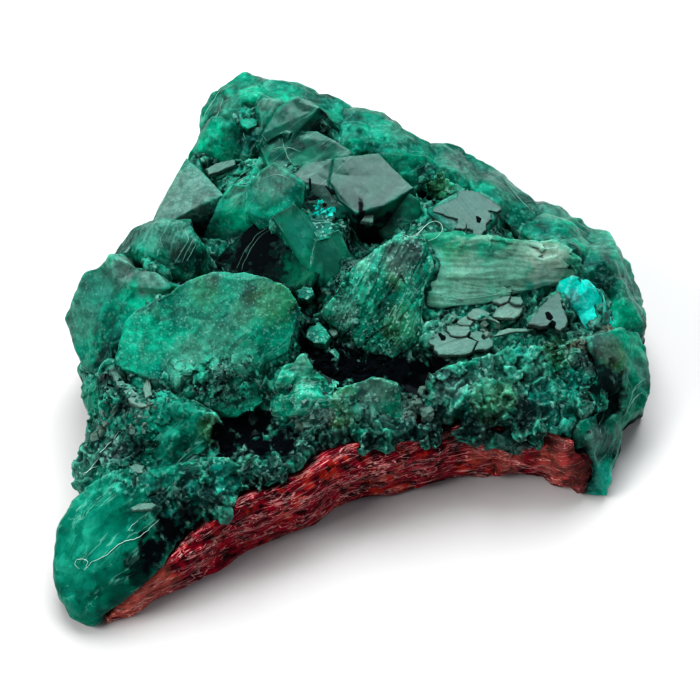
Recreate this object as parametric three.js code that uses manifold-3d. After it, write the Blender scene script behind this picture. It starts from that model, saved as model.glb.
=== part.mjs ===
// Dioptase on matrix: a cabinet mineral specimen, about 48 mm across.
// A slab of reddish brown host rock carries a crust of deep green dioptase crystals.
// Millimetres, +Z up. The specimen lies on the flat underside of its rock.
import * as THREE from 'three';
import { ConvexGeometry } from 'three/addons/geometries/ConvexGeometry.js';
import { mergeVertices } from 'three/addons/utils/BufferGeometryUtils.js';
import Module from 'manifold-3d';

const wasm = await Module();
wasm.setup();

// Driving dimensions
const seam = 0.3; // gap between neighbouring pieces
const crustLift = 0.35; // the crust ends this far above the rock's underside
const rhombSlope = 51; // degrees from the base plane to a dioptase rhombohedron face
const prismSides = 6;
const faceVariety = 0.24; // faces of one prism lie nearer or further by up to this share
const rhombTwist = 30; // degrees that the rhombohedron faces are turned from the prism faces
const chipWander = 0.6; // radians that the chips of a lump stray from even spacing
const chipTilt = 0.15; // and how far they tip up or down
const rockCentre = [3, 3]; // the rock's rings close towards this point, x and y
const rockCentreTop = 7.2; // height of the rock under the middle of the crust
const rockSteps = 56; // corners of each ring of the rock
const rockRoughness = 0.5; // the most that a ring of the rock's side wanders in and out

const up = new THREE.Vector3(0, 0, 1);
const radians = THREE.MathUtils.degToRad;

// Repeatable random numbers from 0 to 1, so that every build is the same.
function randomFrom(seed) {
  let state = (seed * 2654435761) >>> 0;
  return () => {
    state = (state + 0x6d2b79f5) >>> 0;
    let t = Math.imul(state ^ (state >>> 15), 1 | state);
    t = (t + Math.imul(t ^ (t >>> 7), 61 | t)) ^ t;
    return ((t ^ (t >>> 14)) >>> 0) / 4294967296;
  };
}

// A closed geometry as a manifold solid, with only its positions kept.
function solidOf(geometry) {
  geometry.deleteAttribute('normal');
  geometry.deleteAttribute('uv');
  const merged = mergeVertices(geometry, 1e-4);
  return new wasm.Manifold(new wasm.Mesh({
    numProp: 3,
    vertProperties: merged.attributes.position.array,
    triVerts: new Uint32Array(merged.index.array),
  }));
}

// The convex body inside a set of planes: its corners are where three planes meet.
function bodyInside(planes) {
  const corners = [];
  const edge = new THREE.Vector3();
  const matrix = new THREE.Matrix3();
  for (let i = 0; i < planes.length; i++) {
    for (let j = i + 1; j < planes.length; j++) {
      if (edge.crossVectors(planes[i].normal, planes[j].normal).lengthSq() < 1e-6) continue;
      for (let k = j + 1; k < planes.length; k++) {
        const [a, b, c] = [planes[i], planes[j], planes[k]];
        matrix.set(a.normal.x, a.normal.y, a.normal.z, b.normal.x, b.normal.y, b.normal.z,
          c.normal.x, c.normal.y, c.normal.z);
        if (Math.abs(matrix.determinant()) < 1e-5) continue;
        const corner = new THREE.Vector3(-a.constant, -b.constant, -c.constant)
          .applyMatrix3(matrix.invert());
        if (planes.every((plane) => plane.distanceToPoint(corner) < 1e-3)) corners.push(corner);
      }
    }
  }
  return solidOf(new ConvexGeometry(corners));
}

// The planes of one dioptase crystal: a six-sided prism closed by three rhombohedron faces.
// at is its head, axis points out of the crust, and flat cuts the tip off by that many mm.
function crystalPlanes(crystal, grow = 0) {
  const { at, axis, spin, across, stretch, depth, flat } = crystal;
  const random = randomFrom(Math.round(Math.abs(at[0] * 31 + at[1] * 17 + at[2] * 7) * 10) + 3);
  const turn = new THREE.Quaternion()
    .setFromUnitVectors(up, new THREE.Vector3(...axis).normalize())
    .multiply(new THREE.Quaternion().setFromAxisAngle(up, radians(spin)));
  const head = new THREE.Vector3(...at);
  const planes = [];
  const face = (x, y, z, reach) => {
    const normal = new THREE.Vector3(x, y, z).normalize().applyQuaternion(turn);
    planes.push(new THREE.Plane(normal, -(normal.dot(head) + reach + grow)));
  };
  for (let i = 0; i < prismSides; i++) {
    const angle = (i / prismSides) * 2 * Math.PI;
    const reach = (across / 2) * (1 + faceVariety * (random() - 0.5));
    const widen = Math.hypot(stretch * Math.cos(angle), Math.sin(angle));
    face(Math.cos(angle), Math.sin(angle), 0, reach * widen);
  }
  for (let i = 0; i < 3; i++) {
    const angle = (i / 3) * 2 * Math.PI + radians(rhombTwist);
    const slope = radians(rhombSlope);
    face(Math.sin(slope) * Math.cos(angle), Math.sin(slope) * Math.sin(angle), Math.cos(slope),
      flat * Math.cos(slope));
  }
  face(0, 0, 1, 0);
  face(0, 0, -1, depth);
  return planes;
}

// The planes of one massive lump: flat chips all round an ellipsoid, as on broken dioptase.
function lumpPlanes(lump, grow = 0) {
  const { at, size, turn = 0, chips, rough = 0.12 } = lump;
  const random = randomFrom(Math.round(Math.abs(at[0] * 13 + at[1] * 29 + at[2] * 5) * 10) + 11);
  const centre = new THREE.Vector3(...at);
  const planes = [];
  for (let i = 0; i < chips; i++) {
    const z = 1 - (2 * (i + 0.5)) / chips;
    const around = i * Math.PI * (3 - Math.sqrt(5)) + random() * chipWander;
    const flatness = Math.sqrt(1 - z * z);
    const normal = new THREE.Vector3(flatness * Math.cos(around), flatness * Math.sin(around),
      z + chipTilt * (random() - 0.5)).normalize();
    const reach = Math.hypot(normal.x * size[0], normal.y * size[1], normal.z * size[2])
      * (1 - rough * random());
    normal.applyAxisAngle(up, radians(turn));
    planes.push(new THREE.Plane(normal, -(normal.dot(centre) + reach + grow)));
  }
  return planes;
}

// The planes of one block crystal: a head outline and the same outline, spread, at its far end.
function blockPlanes(block, grow = 0) {
  const { head, back, spread = 1, crown = [1, 0] } = block;
  const outline = head.map((corner) => new THREE.Vector3(...corner));
  const middle = outline.reduce((sum, corner) => sum.add(corner), new THREE.Vector3())
    .divideScalar(outline.length);
  const scaled = (share, shift) => outline.map((corner) => corner.clone().sub(middle)
    .multiplyScalar(share).add(middle).add(shift));
  const far = scaled(spread, new THREE.Vector3(...back));
  const top = scaled(crown[0], new THREE.Vector3(0, 0, crown[1]));
  const corners = new ConvexGeometry([...outline, ...far, ...top]).attributes.position;
  const planes = [];
  const triangle = new THREE.Triangle();
  for (let i = 0; i < corners.count; i += 3) {
    triangle.setFromAttributeAndIndices(corners, i, i + 1, i + 2);
    const plane = triangle.getPlane(new THREE.Plane());
    plane.constant -= grow;
    const known = planes.some((other) => other.normal.dot(plane.normal) > 0.9999
      && Math.abs(other.constant - plane.constant) < 0.01);
    if (!known) planes.push(plane);
  }
  return planes;
}

function planesOf(piece, grow) {
  if (piece.head) return blockPlanes(piece, grow);
  return piece.size ? lumpPlanes(piece, grow) : crystalPlanes(piece, grow);
}

// The rock's outline seen from above: [x, y, height of the rock there], from the front left corner
// along the hollow front, round the right end and back along the rear.
const rockOutline = [
  [-19.6, -20.9, 1.2], [-17.5, -20.0, 2.6], [-14.8, -18.6, 4.3], [-12.1, -17.1, 6.0],
  [-9.6, -15.3, 7.0], [-6.9, -13.7, 7.6], [-4.0, -12.4, 7.6], [0.0, -9.6, 7.6], [4.1, -8.8, 7.6],
  [8.2, -7.4, 7.6], [12.2, -6.8, 7.6], [15.7, -7.2, 7.4], [17.8, -7.9, 5.6], [19.4, -8.3, 3.6],
  [20.2, -6.0, 3.8], [21.0, 0, 5.0], [20.4, 5.0, 6.0], [16.5, 9.6, 7.0], [11.0, 13.6, 7.0],
  [4.5, 17.6, 7.0], [-2.0, 20.5, 7.5], [-8.0, 22.0, 7.0], [-12.0, 19.0, 6.5], [-14.0, 14.0, 6.0],
  [-16.6, 8.0, 6.0], [-19.6, 3.0, 5.5], [-19.8, -4.0, 5.0], [-19.0, -10.0, 4.5],
  [-19.4, -15.0, 3.3], [-20.4, -18.9, 1.6],
];

// Rings of the rock, underside first: [mm inside the outline, share of the height, share of the
// way out from the centre]
const rockRings = [
  [0.8, 0, 1], [0.2, 0.15, 1], [0.1, 0.45, 1], [-0.1, 0.75, 1], [0.7, 1, 1], [0.8, 1, 0.55],
];

// The host rock: rings of one outline, from the flat underside, up its side and in over its top.
function rockSolid() {
  const random = randomFrom(5);
  const corners = rockOutline.map((corner) => new THREE.Vector3(...corner));
  const curve = new THREE.CatmullRomCurve3(corners, true, 'catmullrom', 0.5);
  const points = [new THREE.Vector3(...rockCentre, 0)];
  for (const [inside, height, share] of rockRings) {
    const rough = height > 0 && height < 1 ? rockRoughness : 0;
    for (let i = 0; i < rockSteps; i++) {
      const { x, y, z } = curve.getPointAt(i / rockSteps);
      const along = curve.getTangentAt(i / rockSteps);
      const reach = rough * (random() - 0.5) - inside;
      const outward = new THREE.Vector2(along.y, -along.x).setLength(reach);
      const top = height === 1 ? THREE.MathUtils.lerp(rockCentreTop, z, share ** 3) : z * height;
      points.push(new THREE.Vector3(
        THREE.MathUtils.lerp(rockCentre[0], x + outward.x, share),
        THREE.MathUtils.lerp(rockCentre[1], y + outward.y, share),
        top,
      ));
    }
  }
  points.push(new THREE.Vector3(...rockCentre, rockCentreTop));
  const index = [];
  const last = points.length - 1;
  for (let i = 0; i < rockSteps; i++) {
    const next = (i + 1) % rockSteps;
    index.push(0, 1 + next, 1 + i);
    for (let ring = 0; ring + 1 < rockRings.length; ring++) {
      const low = 1 + ring * rockSteps;
      const high = low + rockSteps;
      index.push(low + i, low + next, high + next, low + i, high + next, high + i);
    }
    const inner = last - rockSteps;
    index.push(inner + i, inner + next, last);
  }
  return solidOf(new THREE.BufferGeometry().setFromPoints(points).setIndex(index));
}

// Small crystals strewn along a line of the crust, each leaning its own way.
const greatestLean = 0.9; // sideways share of the most that one leans from the common axis
const flatHeads = 0.4; // share of them with a cut-off tip
function strewn({ from, to, count, spread, size, axis, seed }) {
  const random = randomFrom(seed);
  const centred = () => random() + random() - 1;
  return Array.from({ length: count }, (_, i) => {
    const share = (i + random()) / count;
    const at = from.map((start, k) => start + (to[k] - start) * share + spread * centred());
    const lean = axis.map((value) => value + greatestLean * centred());
    const across = size[0] + (size[1] - size[0]) * random() ** 2;
    return {
      at, axis: lean, spin: 120 * random(), across, stretch: 1 + 0.5 * random(), depth: across * 1.8,
      flat: random() < flatHeads ? across * 0.3 : 0,
    };
  });
}

// Crystals and lumps of each piece, in the order in which they claim their room. under lists the
// layer of crust that lies beneath all of them.
const pieces = {
  plate_crystal: {
    colour: 0x1f9d78, roughness: 0.6,
    parts: [
      { // broad frosted head
        head: [
          [-18.2, 0.2, 13], [-14.6, 1.3, 14.3], [-13.8, 2.2, 15.1], [-10.9, 2.8, 15.8],
          [-7.1, 2.3, 15.8], [-5.1, 1.4, 15.2], [-4, 0.1, 14.2], [-4.9, -2.6, 12.4], [-8.4, -3.8, 11.4],
          [-12.8, -4.3, 11.2], [-16.1, -4.3, 11.2], [-19.3, -3.1, 11.4],
        ],
        back: [0.6, 1.6, -7], spread: 1.04,
      },
      { // broken step below its front edge
        head: [
          [-13.2, -3.7, 10.7], [-7.9, -3.2, 11], [-7.1, -3.4, 10.8], [-7, -5.5, 9.2], [-9.2, -6.3, 8.4],
          [-12.4, -5.8, 8.8], [-13.4, -4.9, 9.6],
        ],
        back: [0, 2, -4], spread: 1,
      },
    ],
  },
  edge_crystal: {
    colour: 0x23a07c, roughness: 0.25,
    parts: [
      { // level head
        head: [
          [-19.4, 6, 12.9], [-16.2, 4.3, 13.4], [-14.3, 3.1, 13.6], [-14.9, 2.8, 13.4],
          [-17.8, 3.6, 12.8], [-19.2, 4.6, 12.6],
        ],
        back: [0.4, 0.3, -6], spread: 1.3,
      },
      { // smooth flank that leans out to the left
        head: [
          [-21.5, 6.1, 11], [-19.4, 6.4, 12.3], [-17.9, 3.6, 12.4], [-14.9, 3, 12.8],
          [-14.9, 2.7, 12.2], [-18, 2.2, 11], [-19.3, -0.6, 9.6], [-20.5, -1.9, 8.6],
          [-22.1, -0.3, 7.4], [-22.7, 2.3, 7.4], [-23.2, 3.9, 8], [-22.5, 5, 9.6],
        ],
        back: [1.2, 1, -6], spread: 1,
      },
    ],
  },
  centre_cluster: {
    colour: 0x14725f, roughness: 0.2,
    parts: [
      { // long narrow prism
        head: [
          [-6.5, 17.8, 14.2], [-5.5, 19.8, 15], [-4.2, 20.4, 15.4], [-3.3, 19.8, 15.4],
          [-5.3, 17.8, 14.2], [-6, 17.2, 13.8],
        ],
        back: [1.9, -0.6, -4], spread: 1.25,
      },
      { // block in front of it
        head: [
          [-6.7, 16.8, 13.6], [-5.6, 17.5, 14.1], [-2.9, 17.6, 14.5], [-1.6, 16.6, 14.5],
          [-0.5, 15.8, 14.4], [-0.6, 15.1, 14.2], [-2.5, 15.1, 13.9], [-3.6, 15, 13.7],
          [-4.3, 14.4, 13.4], [-5.1, 15.4, 13.3], [-6.2, 15.5, 13.2],
        ],
        back: [0, 0.3, -7], spread: 1.5,
      },
      { // level tabular crystal
        head: [
          [-1.1, 13.2, 14.5], [-0.8, 14.7, 14.7], [2.1, 15.1, 14.8], [3, 13.7, 14.7], [4.4, 12.4, 14.6],
          [2.5, 11.1, 14.4], [0.7, 10.6, 14.3], [-0.4, 11.7, 14.3],
        ],
        back: [0, 0.6, -7], spread: 1.35,
      },
      { // block beside it, lined with fine cracks
        head: [
          [-4.4, 13.5, 13.9], [-3.5, 14.6, 14.2], [-0.7, 14.9, 14.5], [-0.9, 13.2, 14.3],
          [-0.2, 11.7, 13.9], [-0.7, 10.8, 13.1], [-2.6, 10.8, 12.8], [-4, 11, 12.8], [-4.4, 11.8, 13.1],
        ],
        back: [0, 0.6, -7], spread: 1.4,
      },
      { // pitted block
        head: [
          [-4, 11, 12.4], [-2.6, 11.4, 12.8], [-1, 11.4, 12.8], [-0.6, 10.4, 12], [-1.1, 9.4, 11.3],
          [-2.3, 9, 11], [-3.3, 9.7, 11.4],
        ],
        back: [0, 1, -6], spread: 1.3,
      },
    ],
  },
  leaning_prism: {
    colour: 0x2a7a68, roughness: 0.2,
    parts: [
      { // prism that leans forward and to the right
        head: [
          [-5.8, 9.9, 13.5], [-4.6, 10.4, 14], [-3.8, 9.9, 13.6], [-2.5, 7.9, 12.7], [-2.6, 5.9, 10.8],
          [-3, 6.2, 10.9], [-5.2, 9.1, 13.1],
        ],
        back: [0.4, 2.5, -6], spread: 1.15,
      },
      { // its grey end
        head: [
          [-2.5, 7.8, 12.7], [-1.1, 8.4, 13], [-0.4, 7.1, 12], [-0.7, 6.6, 11.4], [-2.3, 5.8, 10.6],
          [-2.8, 6, 10.8],
        ],
        back: [0.2, 2.2, -6], spread: 1.15,
      },
    ],
  },
  pale_crystals: {
    colour: 0x3fa585, roughness: 0.25,
    parts: [
      { // rounded pale head
        head: [
          [-8.1, 12.5, 13.7], [-7.2, 13.3, 14.4], [-6.1, 13.7, 14.9], [-5.3, 13.4, 14.8],
          [-4.4, 12.4, 14.5], [-4.4, 11.3, 13.8], [-4.9, 10.8, 13.3], [-6.2, 10.4, 12.7],
          [-7.2, 10.4, 12.2], [-8.1, 11.3, 12.8],
        ],
        back: [0.2, 1, -7], spread: 1.35,
      },
      { // clearer crystal in front of it
        head: [
          [-10.6, 11.7, 12.4], [-9.4, 12.8, 13.3], [-8.2, 12.7, 13.5], [-7.9, 11.3, 12.6],
          [-7.2, 10.5, 11.9], [-8.6, 10, 11], [-9.8, 9.2, 10.1], [-11.2, 9.3, 9.8], [-11.1, 10.2, 10.8],
        ],
        back: [0.2, 1, -6], spread: 1.35,
      },
    ],
  },
  fractured_crystal: {
    colour: 0x2d9b72, roughness: 0.5,
    parts: [
      { // fractured face, higher at the back
        head: [
          [-2, 1.8, 11], [-1, 3.6, 13], [0.2, 4.7, 13.6], [3.2, 6.6, 14.6], [6.1, 7.7, 14.2],
          [6.7, 5.9, 13], [6, 3.1, 11.4], [5.7, 0.4, 9.2], [3.7, -0.4, 8.6], [1.6, 0.1, 9.2],
          [-0.4, 0.8, 10],
        ],
        back: [0.3, 2.4, -5], spread: 1.15, crown: [0.4, 0.5],
      },
    ],
  },
  striated_crystal: {
    colour: 0x5fae93, roughness: 0.5,
    parts: [
      { // long face striated from left to right
        head: [
          [6.5, 8.2, 13.4], [9.8, 7.6, 13.7], [13.9, 7.8, 13.5], [16.8, 7.9, 13], [18.6, 6.8, 12.2],
          [18.3, 5.9, 11], [14.7, 5, 10.8], [10.8, 3.8, 10.2], [5.9, 3.5, 10.4], [6, 5.2, 11.6],
        ],
        back: [0, 2.2, -6], spread: 1.1, crown: [0.6, 0.25],
      },
    ],
  },
  chrysocolla_patch: {
    colour: 0x12bfae, roughness: 0.5,
    parts: [
      { // turquoise film, a thick skin on the crust
        head: [
          [17.4, 5.8, 10.8], [19.3, 5.5, 10.4], [20.5, 4.7, 9.4], [21.2, 3.1, 8], [19.8, 2.5, 8.2],
          [18.7, 3.5, 9.4], [17.7, 4.7, 10.2],
        ],
        back: [-0.4, 0.6, -3], spread: 1,
      },
    ],
  },
  shoulder_crystal: {
    colour: 0x25886c, roughness: 0.25,
    parts: [
      { // rounded head
        head: [
          [-19.5, 7.6, 10.8], [-18.9, 8.8, 11.6], [-17.9, 9.6, 12.4], [-15.7, 9.9, 13.2],
          [-13.8, 9.7, 13.6], [-13.1, 8.1, 13.4], [-12.4, 7.6, 13], [-12.7, 6.5, 12],
          [-14.2, 5.6, 11.6], [-16.2, 6.1, 11.4], [-18.2, 6.9, 11.2],
        ],
        back: [1, 0.5, -7], spread: 1.08, crown: [0.55, 0.9],
      },
    ],
  },
  pyramid_crystal: {
    colour: 0x4b9a82, roughness: 0.2,
    parts: [
      { // level head above a steep front
        head: [
          [-13.6, 16.9, 12.4], [-12.4, 15.4, 12.7], [-10.8, 13.1, 13], [-12.1, 12.4, 13.1],
          [-16.3, 10.1, 12.4], [-15.7, 12.4, 12],
        ],
        back: [1.2, -1.4, -7], spread: 1.5, crown: [0.5, 0.1],
      },
    ],
  },
  apex_cluster: {
    colour: 0x1b8f6d, roughness: 0.25,
    parts: [
      { // long ridge at the back
        head: [
          [-10.9, 23.8, 13.4], [-8.8, 25.7, 13], [-5.1, 24.7, 12.8], [0, 23, 12], [-0.7, 20.6, 12.8],
          [-4.2, 21.1, 13.4], [-7.4, 21.9, 14.2], [-9.2, 21.9, 14.4],
        ],
        back: [0.2, -0.4, -5], spread: 1.12, crown: [0.6, 0.5],
      },
      { // round head
        head: [
          [-7.3, 21.3, 14.9], [-5.5, 20.9, 14.7], [-5, 19.9, 14.2], [-5.8, 19.1, 13.7],
          [-7.3, 19.2, 13.6], [-8, 20.5, 14.3],
        ],
        back: [0, 0, -5.4], spread: 1.7,
      },
      { // vivid block at the left
        head: [
          [-12.5, 19.6, 13], [-11.5, 20.1, 14], [-9.8, 19.5, 14.2], [-9.5, 18, 12.6],
          [-10.5, 17.4, 11.6], [-12.3, 17.9, 11.4], [-13.4, 18.4, 11.8],
        ],
        back: [0.5, 0, -5.8], spread: 1.3, crown: [0.6, 0.6],
      },
      { // top left block
        head: [
          [-11.4, 23.5, 13.2], [-9.9, 23.9, 13.8], [-9.1, 21.8, 14.3], [-9.8, 20, 13.8],
          [-11.5, 20.5, 13.4], [-12.5, 20.1, 12.6], [-12.3, 22.1, 12.8],
        ],
        back: [0.5, 0, -5], spread: 1.12, crown: [0.6, 0.4],
      },
      { // block between them
        head: [
          [-9.7, 19.5, 13.9], [-7.3, 19.2, 13.6], [-6.7, 18.4, 13], [-7.8, 17.4, 11.8],
          [-9.5, 17.1, 11.4], [-9.9, 18, 12.4],
        ],
        back: [0, 0, -5.4], spread: 1.6, crown: [0.6, 0.4],
      },
    ],
  },
  dark_crystal: {
    colour: 0x0a3b33, roughness: 0.15,
    parts: [
      { // clear dark crystal, half buried
        head: [
          [-10.4, 7.7, 10.6], [-9, 9, 11.2], [-7.6, 9.9, 12], [-6.1, 10.5, 12.5], [-5.3, 9.6, 12.4],
          [-4.2, 8.2, 11.9], [-3.1, 6, 10.9], [-3.6, 5.2, 10.4], [-5.1, 5.3, 10.3], [-7.2, 6.2, 10.3],
          [-9.5, 6.6, 10.4],
        ],
        back: [0.5, 2.5, -5], spread: 1.1,
      },
    ],
  },
  teal_crystal: {
    colour: 0x10705c, roughness: 0.2,
    parts: [
      { // small block with a steep front
        head: [
          [2.4, 12, 12.6], [3.4, 12.1, 13.3], [4.3, 12.1, 13.7], [5.3, 11.4, 13.3], [5.3, 10.6, 12.2],
          [4.1, 9.7, 10.8], [3.1, 10.3, 11], [2.2, 11.1, 11.4],
        ],
        back: [0.2, 1.4, -6], spread: 1.3,
      },
    ],
  },
  front_cluster: {
    colour: 0x1a9a72, roughness: 0.4,
    parts: [
      { // rough triangular crystal
        head: [
          [-2.3, -5.5, 9.6], [-0.4, -5, 10.8], [1.8, -4.3, 11.2], [3.6, -4.5, 10.4], [4.2, -6.1, 8.2],
          [2, -6.6, 7.8], [-0.4, -7, 7.8], [-1.9, -6.5, 8.4],
        ],
        back: [0.2, 1.6, -4], spread: 1.3,
      },
      { // tall block
        head: [
          [-5.9, -4.6, 10.6], [-5.3, -3.5, 11.4], [-3.8, -2.7, 12], [-3.1, -3.4, 11.4],
          [-3.9, -5.5, 9.2], [-5.3, -6.2, 8.8],
        ],
        back: [0, 1.5, -5], spread: 1.4,
      },
      { // short block
        head: [[-3.8, -4.3, 11.2], [-2.2, -4.2, 11], [-2.5, -5.2, 9.8], [-3.6, -5.6, 9.6]],
        back: [0, 1.5, -4], spread: 1.6,
      },
      { at: [-3.2, -4.8, 8.6], size: [3.4, 2.2, 2.2], chips: 18 },
    ],
  },
  ridge_cluster: {
    colour: 0x2a8a70, roughness: 0.25,
    parts: [
      { // level ragged head
        head: [
          [6.8, 11.2, 13.4], [9.1, 12.8, 13.5], [10.8, 12.6, 13.5], [12.3, 11.7, 13.4],
          [11.7, 10, 13.3], [10.5, 8.3, 13.2], [8.6, 9.4, 13.3],
        ],
        back: [0.3, 0.2, -6.5], spread: 1.5,
      },
      { // back ridge, first lump
        head: [
          [-1, 22.4, 12.4], [1, 22.7, 12.2], [2.9, 22.5, 11.8], [4.4, 21, 11.8], [4, 18.7, 12],
          [1.8, 18, 12.4], [-0.7, 18.4, 12.9],
        ],
        back: [0.2, -0.4, -5.4], spread: 1.2, crown: [0.55, 0.6],
      },
      { // lump in front of it
        head: [
          [-0.4, 18.6, 12.9], [1, 18.8, 13.1], [2.5, 18.3, 12.9], [2.8, 17.5, 12.2], [0.5, 17, 12.2],
          [-0.7, 17.4, 12.4],
        ],
        back: [0.2, -0.4, -5.8], spread: 1.4, crown: [0.55, 0.6],
      },
      { // back ridge, second lump
        head: [
          [2.5, 17.7, 12.8], [4.4, 20.5, 12.4], [6.7, 19.3, 11.8], [7.2, 17.5, 11.6], [6.4, 15.7, 11],
          [4.6, 15.2, 11], [3.1, 15.7, 11.8],
        ],
        back: [0.2, -0.2, -5], spread: 1.12, crown: [0.55, 0.6],
      },
      { // back ridge, third lump
        head: [
          [6.7, 19.7, 11.2], [9.4, 19.5, 10.6], [11.1, 18, 10.2], [10.8, 15.3, 10.9], [8.7, 14.9, 11.7],
          [6.8, 16.5, 11.6],
        ],
        back: [0.2, -0.4, -5.4], spread: 1.2, crown: [0.55, 0.6],
      },
      { // back ridge, fourth lump
        head: [
          [10.7, 18.4, 10.2], [12.9, 16.8, 9.8], [15.1, 15.2, 9.4], [15.9, 12.3, 10],
          [14.1, 11.1, 10.4], [12.2, 12.5, 11.6], [10.6, 14.4, 11.8],
        ],
        back: [0.2, -0.4, -5.8], spread: 1.06, crown: [0.55, 0.6],
      },
    ],
  },
  right_cluster: {
    colour: 0x2a8a70, roughness: 0.25,
    parts: [
      { // back ridge, last lump
        head: [
          [14.2, 15.2, 9.6], [16.7, 14.7, 9.1], [19.5, 13.8, 8.6], [21.3, 12.2, 8.2], [20, 9.1, 9.6],
          [17.3, 9.2, 10.8], [15, 10.6, 10.8],
        ],
        back: [0.2, -0.4, -5], spread: 1.12, crown: [0.55, 0.5],
      },
      { // outer slope at the right
        head: [
          [18.1, 9.3, 11], [21.1, 11.8, 8.6], [22.9, 10, 8], [24.4, 7.4, 6.6], [23.8, 4.4, 6.8],
          [21.3, 4.3, 9.2], [19.3, 5.7, 10.6], [18.2, 7.3, 11.2],
        ],
        back: [-0.2, 0, -5.4], spread: 1.2, crown: [0.55, 0.5],
      },
      { // lump on the right edge
        head: [
          [20.6, 4.4, 9.6], [22.2, 6, 8.8], [24.4, 5.8, 7], [23.7, 3.4, 6.4], [22.3, 2.1, 7.4],
          [21, 2.2, 8.2],
        ],
        back: [-0.3, 0.3, -5.8], spread: 1.06, crown: [0.55, 0.5],
      },
    ],
  },
  end_crystal: {
    colour: 0x168a63, roughness: 0.2,
    parts: [
      { // head
        head: [
          [19.7, 0.4, 9.6], [21.4, 1.7, 8.8], [23.7, 2.9, 6.8], [24, 2, 6.2], [22.7, -1.1, 6.6],
          [20.5, -2.7, 8],
        ],
        back: [0, 0.5, -6], spread: 1, crown: [0.5, 0.3],
      },
      { // outer rim
        head: [
          [23, 1.8, 7.2], [24.3, 2.3, 6], [24.7, -0.9, 4.2], [24.1, -2, 3.8], [22.3, -3.6, 3.8],
          [22.6, -1.2, 6.4],
        ],
        back: [-0.6, 0.5, -4], spread: 1,
      },
      { // wedge that runs down to the floor
        head: [
          [19.5, -6.3, 5.8], [21.4, -4.7, 4.6], [22.3, -3.2, 4.4], [22.1, -5.5, 2.2], [21, -8.7, 0.5],
          [18.8, -8.3, 0.6], [18.4, -6.8, 3.6],
        ],
        back: [-0.3, 2.4, -3], spread: 1, crown: [0.5, 0.4],
      },
      { // floor of the hollow face
        head: [[20.5, -1.4, 6], [22.8, -0.3, 5.2], [22.4, -3, 3.2], [20.1, -5.6, 4.2]],
        back: [-0.5, 1, -4], spread: 1,
      },
      { // inner rim
        head: [[18.1, -4.5, 7.8], [20.5, -2.3, 8], [19.8, -6.4, 5.4], [18.4, -7, 4.8], [16.9, -6.4, 4.8]],
        back: [0, 1.5, -4], spread: 1,
      },
    ],
  },
  dioptase_crust: {
    colour: 0x10684f, roughness: 0.45,
    parts: [
      { // bulge under the broad frosted crystal
        head: [
          [-20.3, -5.5, 9.2], [-18.5, -4.6, 10.2], [-15.2, -5.4, 10.8], [-11.6, -6.7, 10.4],
          [-10.5, -7.7, 9.6], [-11.7, -9.5, 8.6], [-14.2, -10.4, 8.2], [-17.6, -9.6, 8.4],
          [-20.3, -7.5, 8.2],
        ],
        back: [0.3, 0.6, -4], spread: 1.08, crown: [0.6, 1],
      },
      { // lump on the left edge
        head: [
          [-22.3, 1.4, 7], [-20.7, 0.2, 9], [-18.7, -2.7, 10], [-19.2, -4.9, 9], [-20.9, -5.2, 6.8],
          [-21.8, -3, 6.4], [-21.8, -0.5, 6.6],
        ],
        back: [1.2, 1, -5], spread: 1, crown: [0.5, 0.5],
      },
      { // waist above the foot
        head: [
          [-21.1, -5.3, 6.6], [-19.2, -4.8, 8.6], [-16.1, -8.4, 8.4], [-14.7, -10.9, 7.8],
          [-18.4, -11.8, 7.2], [-21.7, -11.4, 6], [-22.1, -9.6, 5.6], [-21, -7.7, 6.2],
        ],
        back: [1, 1.2, -5], spread: 1.05, crown: [0.6, 0.7],
      },
      { // foot at the front left corner
        head: [
          [-22.1, -12.5, 6.4], [-19, -11, 8], [-15.2, -11.3, 8.2], [-12.3, -13.4, 7.2],
          [-13.9, -17.1, 5.4], [-16.5, -19.3, 4], [-19.3, -20.7, 2.8], [-21.9, -20.9, 1.8],
          [-23.5, -18.9, 2.2], [-23.9, -17.3, 3.2], [-23.5, -14.2, 4.8],
        ],
        back: [0.6, 1.2, -5], spread: 1, crown: [0.55, 1.3],
      },
      { // tip of the foot
        head: [
          [-23.5, -17.7, 2.4], [-20.8, -18.9, 2.8], [-18.8, -19.9, 2.4], [-19.4, -20.4, 0.8],
          [-20.5, -21.4, 0.6], [-22.3, -20.7, 0.9], [-23.5, -19, 1.2],
        ],
        back: [0.3, 0.6, -1.5], spread: 1, crown: [0.5, 0.6],
      },
      { // granular patch beside the foot
        head: [
          [-14.8, -11.3, 8.4], [-10.8, -10.5, 8.6], [-8.4, -10.8, 8], [-8.6, -12.5, 7.4],
          [-11.6, -13.8, 7], [-13.2, -15.6, 6.2], [-14.7, -14.9, 6.6],
        ],
        back: [0.2, 1.5, -4], spread: 1, crown: [0.6, 0.6],
      },
      { // granular mass above the right of the rock
        head: [
          [6.3, -3.8, 9.4], [7.8, -2.6, 10.2], [10.1, -1.7, 10.6], [14.6, -0.8, 10.6], [19.5, 0.4, 9.8],
          [20.3, -1.6, 8.2], [18.2, -4.1, 7.8], [15.4, -5.5, 6.4], [10.5, -6.4, 6.8], [6.6, -6.7, 7],
          [5.7, -4.8, 8.2],
        ],
        back: [0, 2, -5], spread: 1, crown: [0.6, 0.5],
      },
      { // ledge in front of the striated crystal
        head: [
          [6, 1.4, 9.6], [8.3, 2.4, 10], [10.8, 3.3, 10], [13.7, 4, 10.1], [14, 3.2, 9.7],
          [11.6, 0.9, 9.2], [9.4, -0.6, 9.2], [7.3, -0.4, 9.2],
        ],
        back: [0, 1, -4], spread: 1.15,
      },
      { // dark triangular crystal
        head: [
          [14.5, 1.8, 10.2], [15.9, 3.4, 10.5], [17.3, 4.8, 10.6], [18, 2.8, 10.4], [17.3, 1.2, 9.8],
          [15.9, 1.7, 10],
        ],
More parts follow.
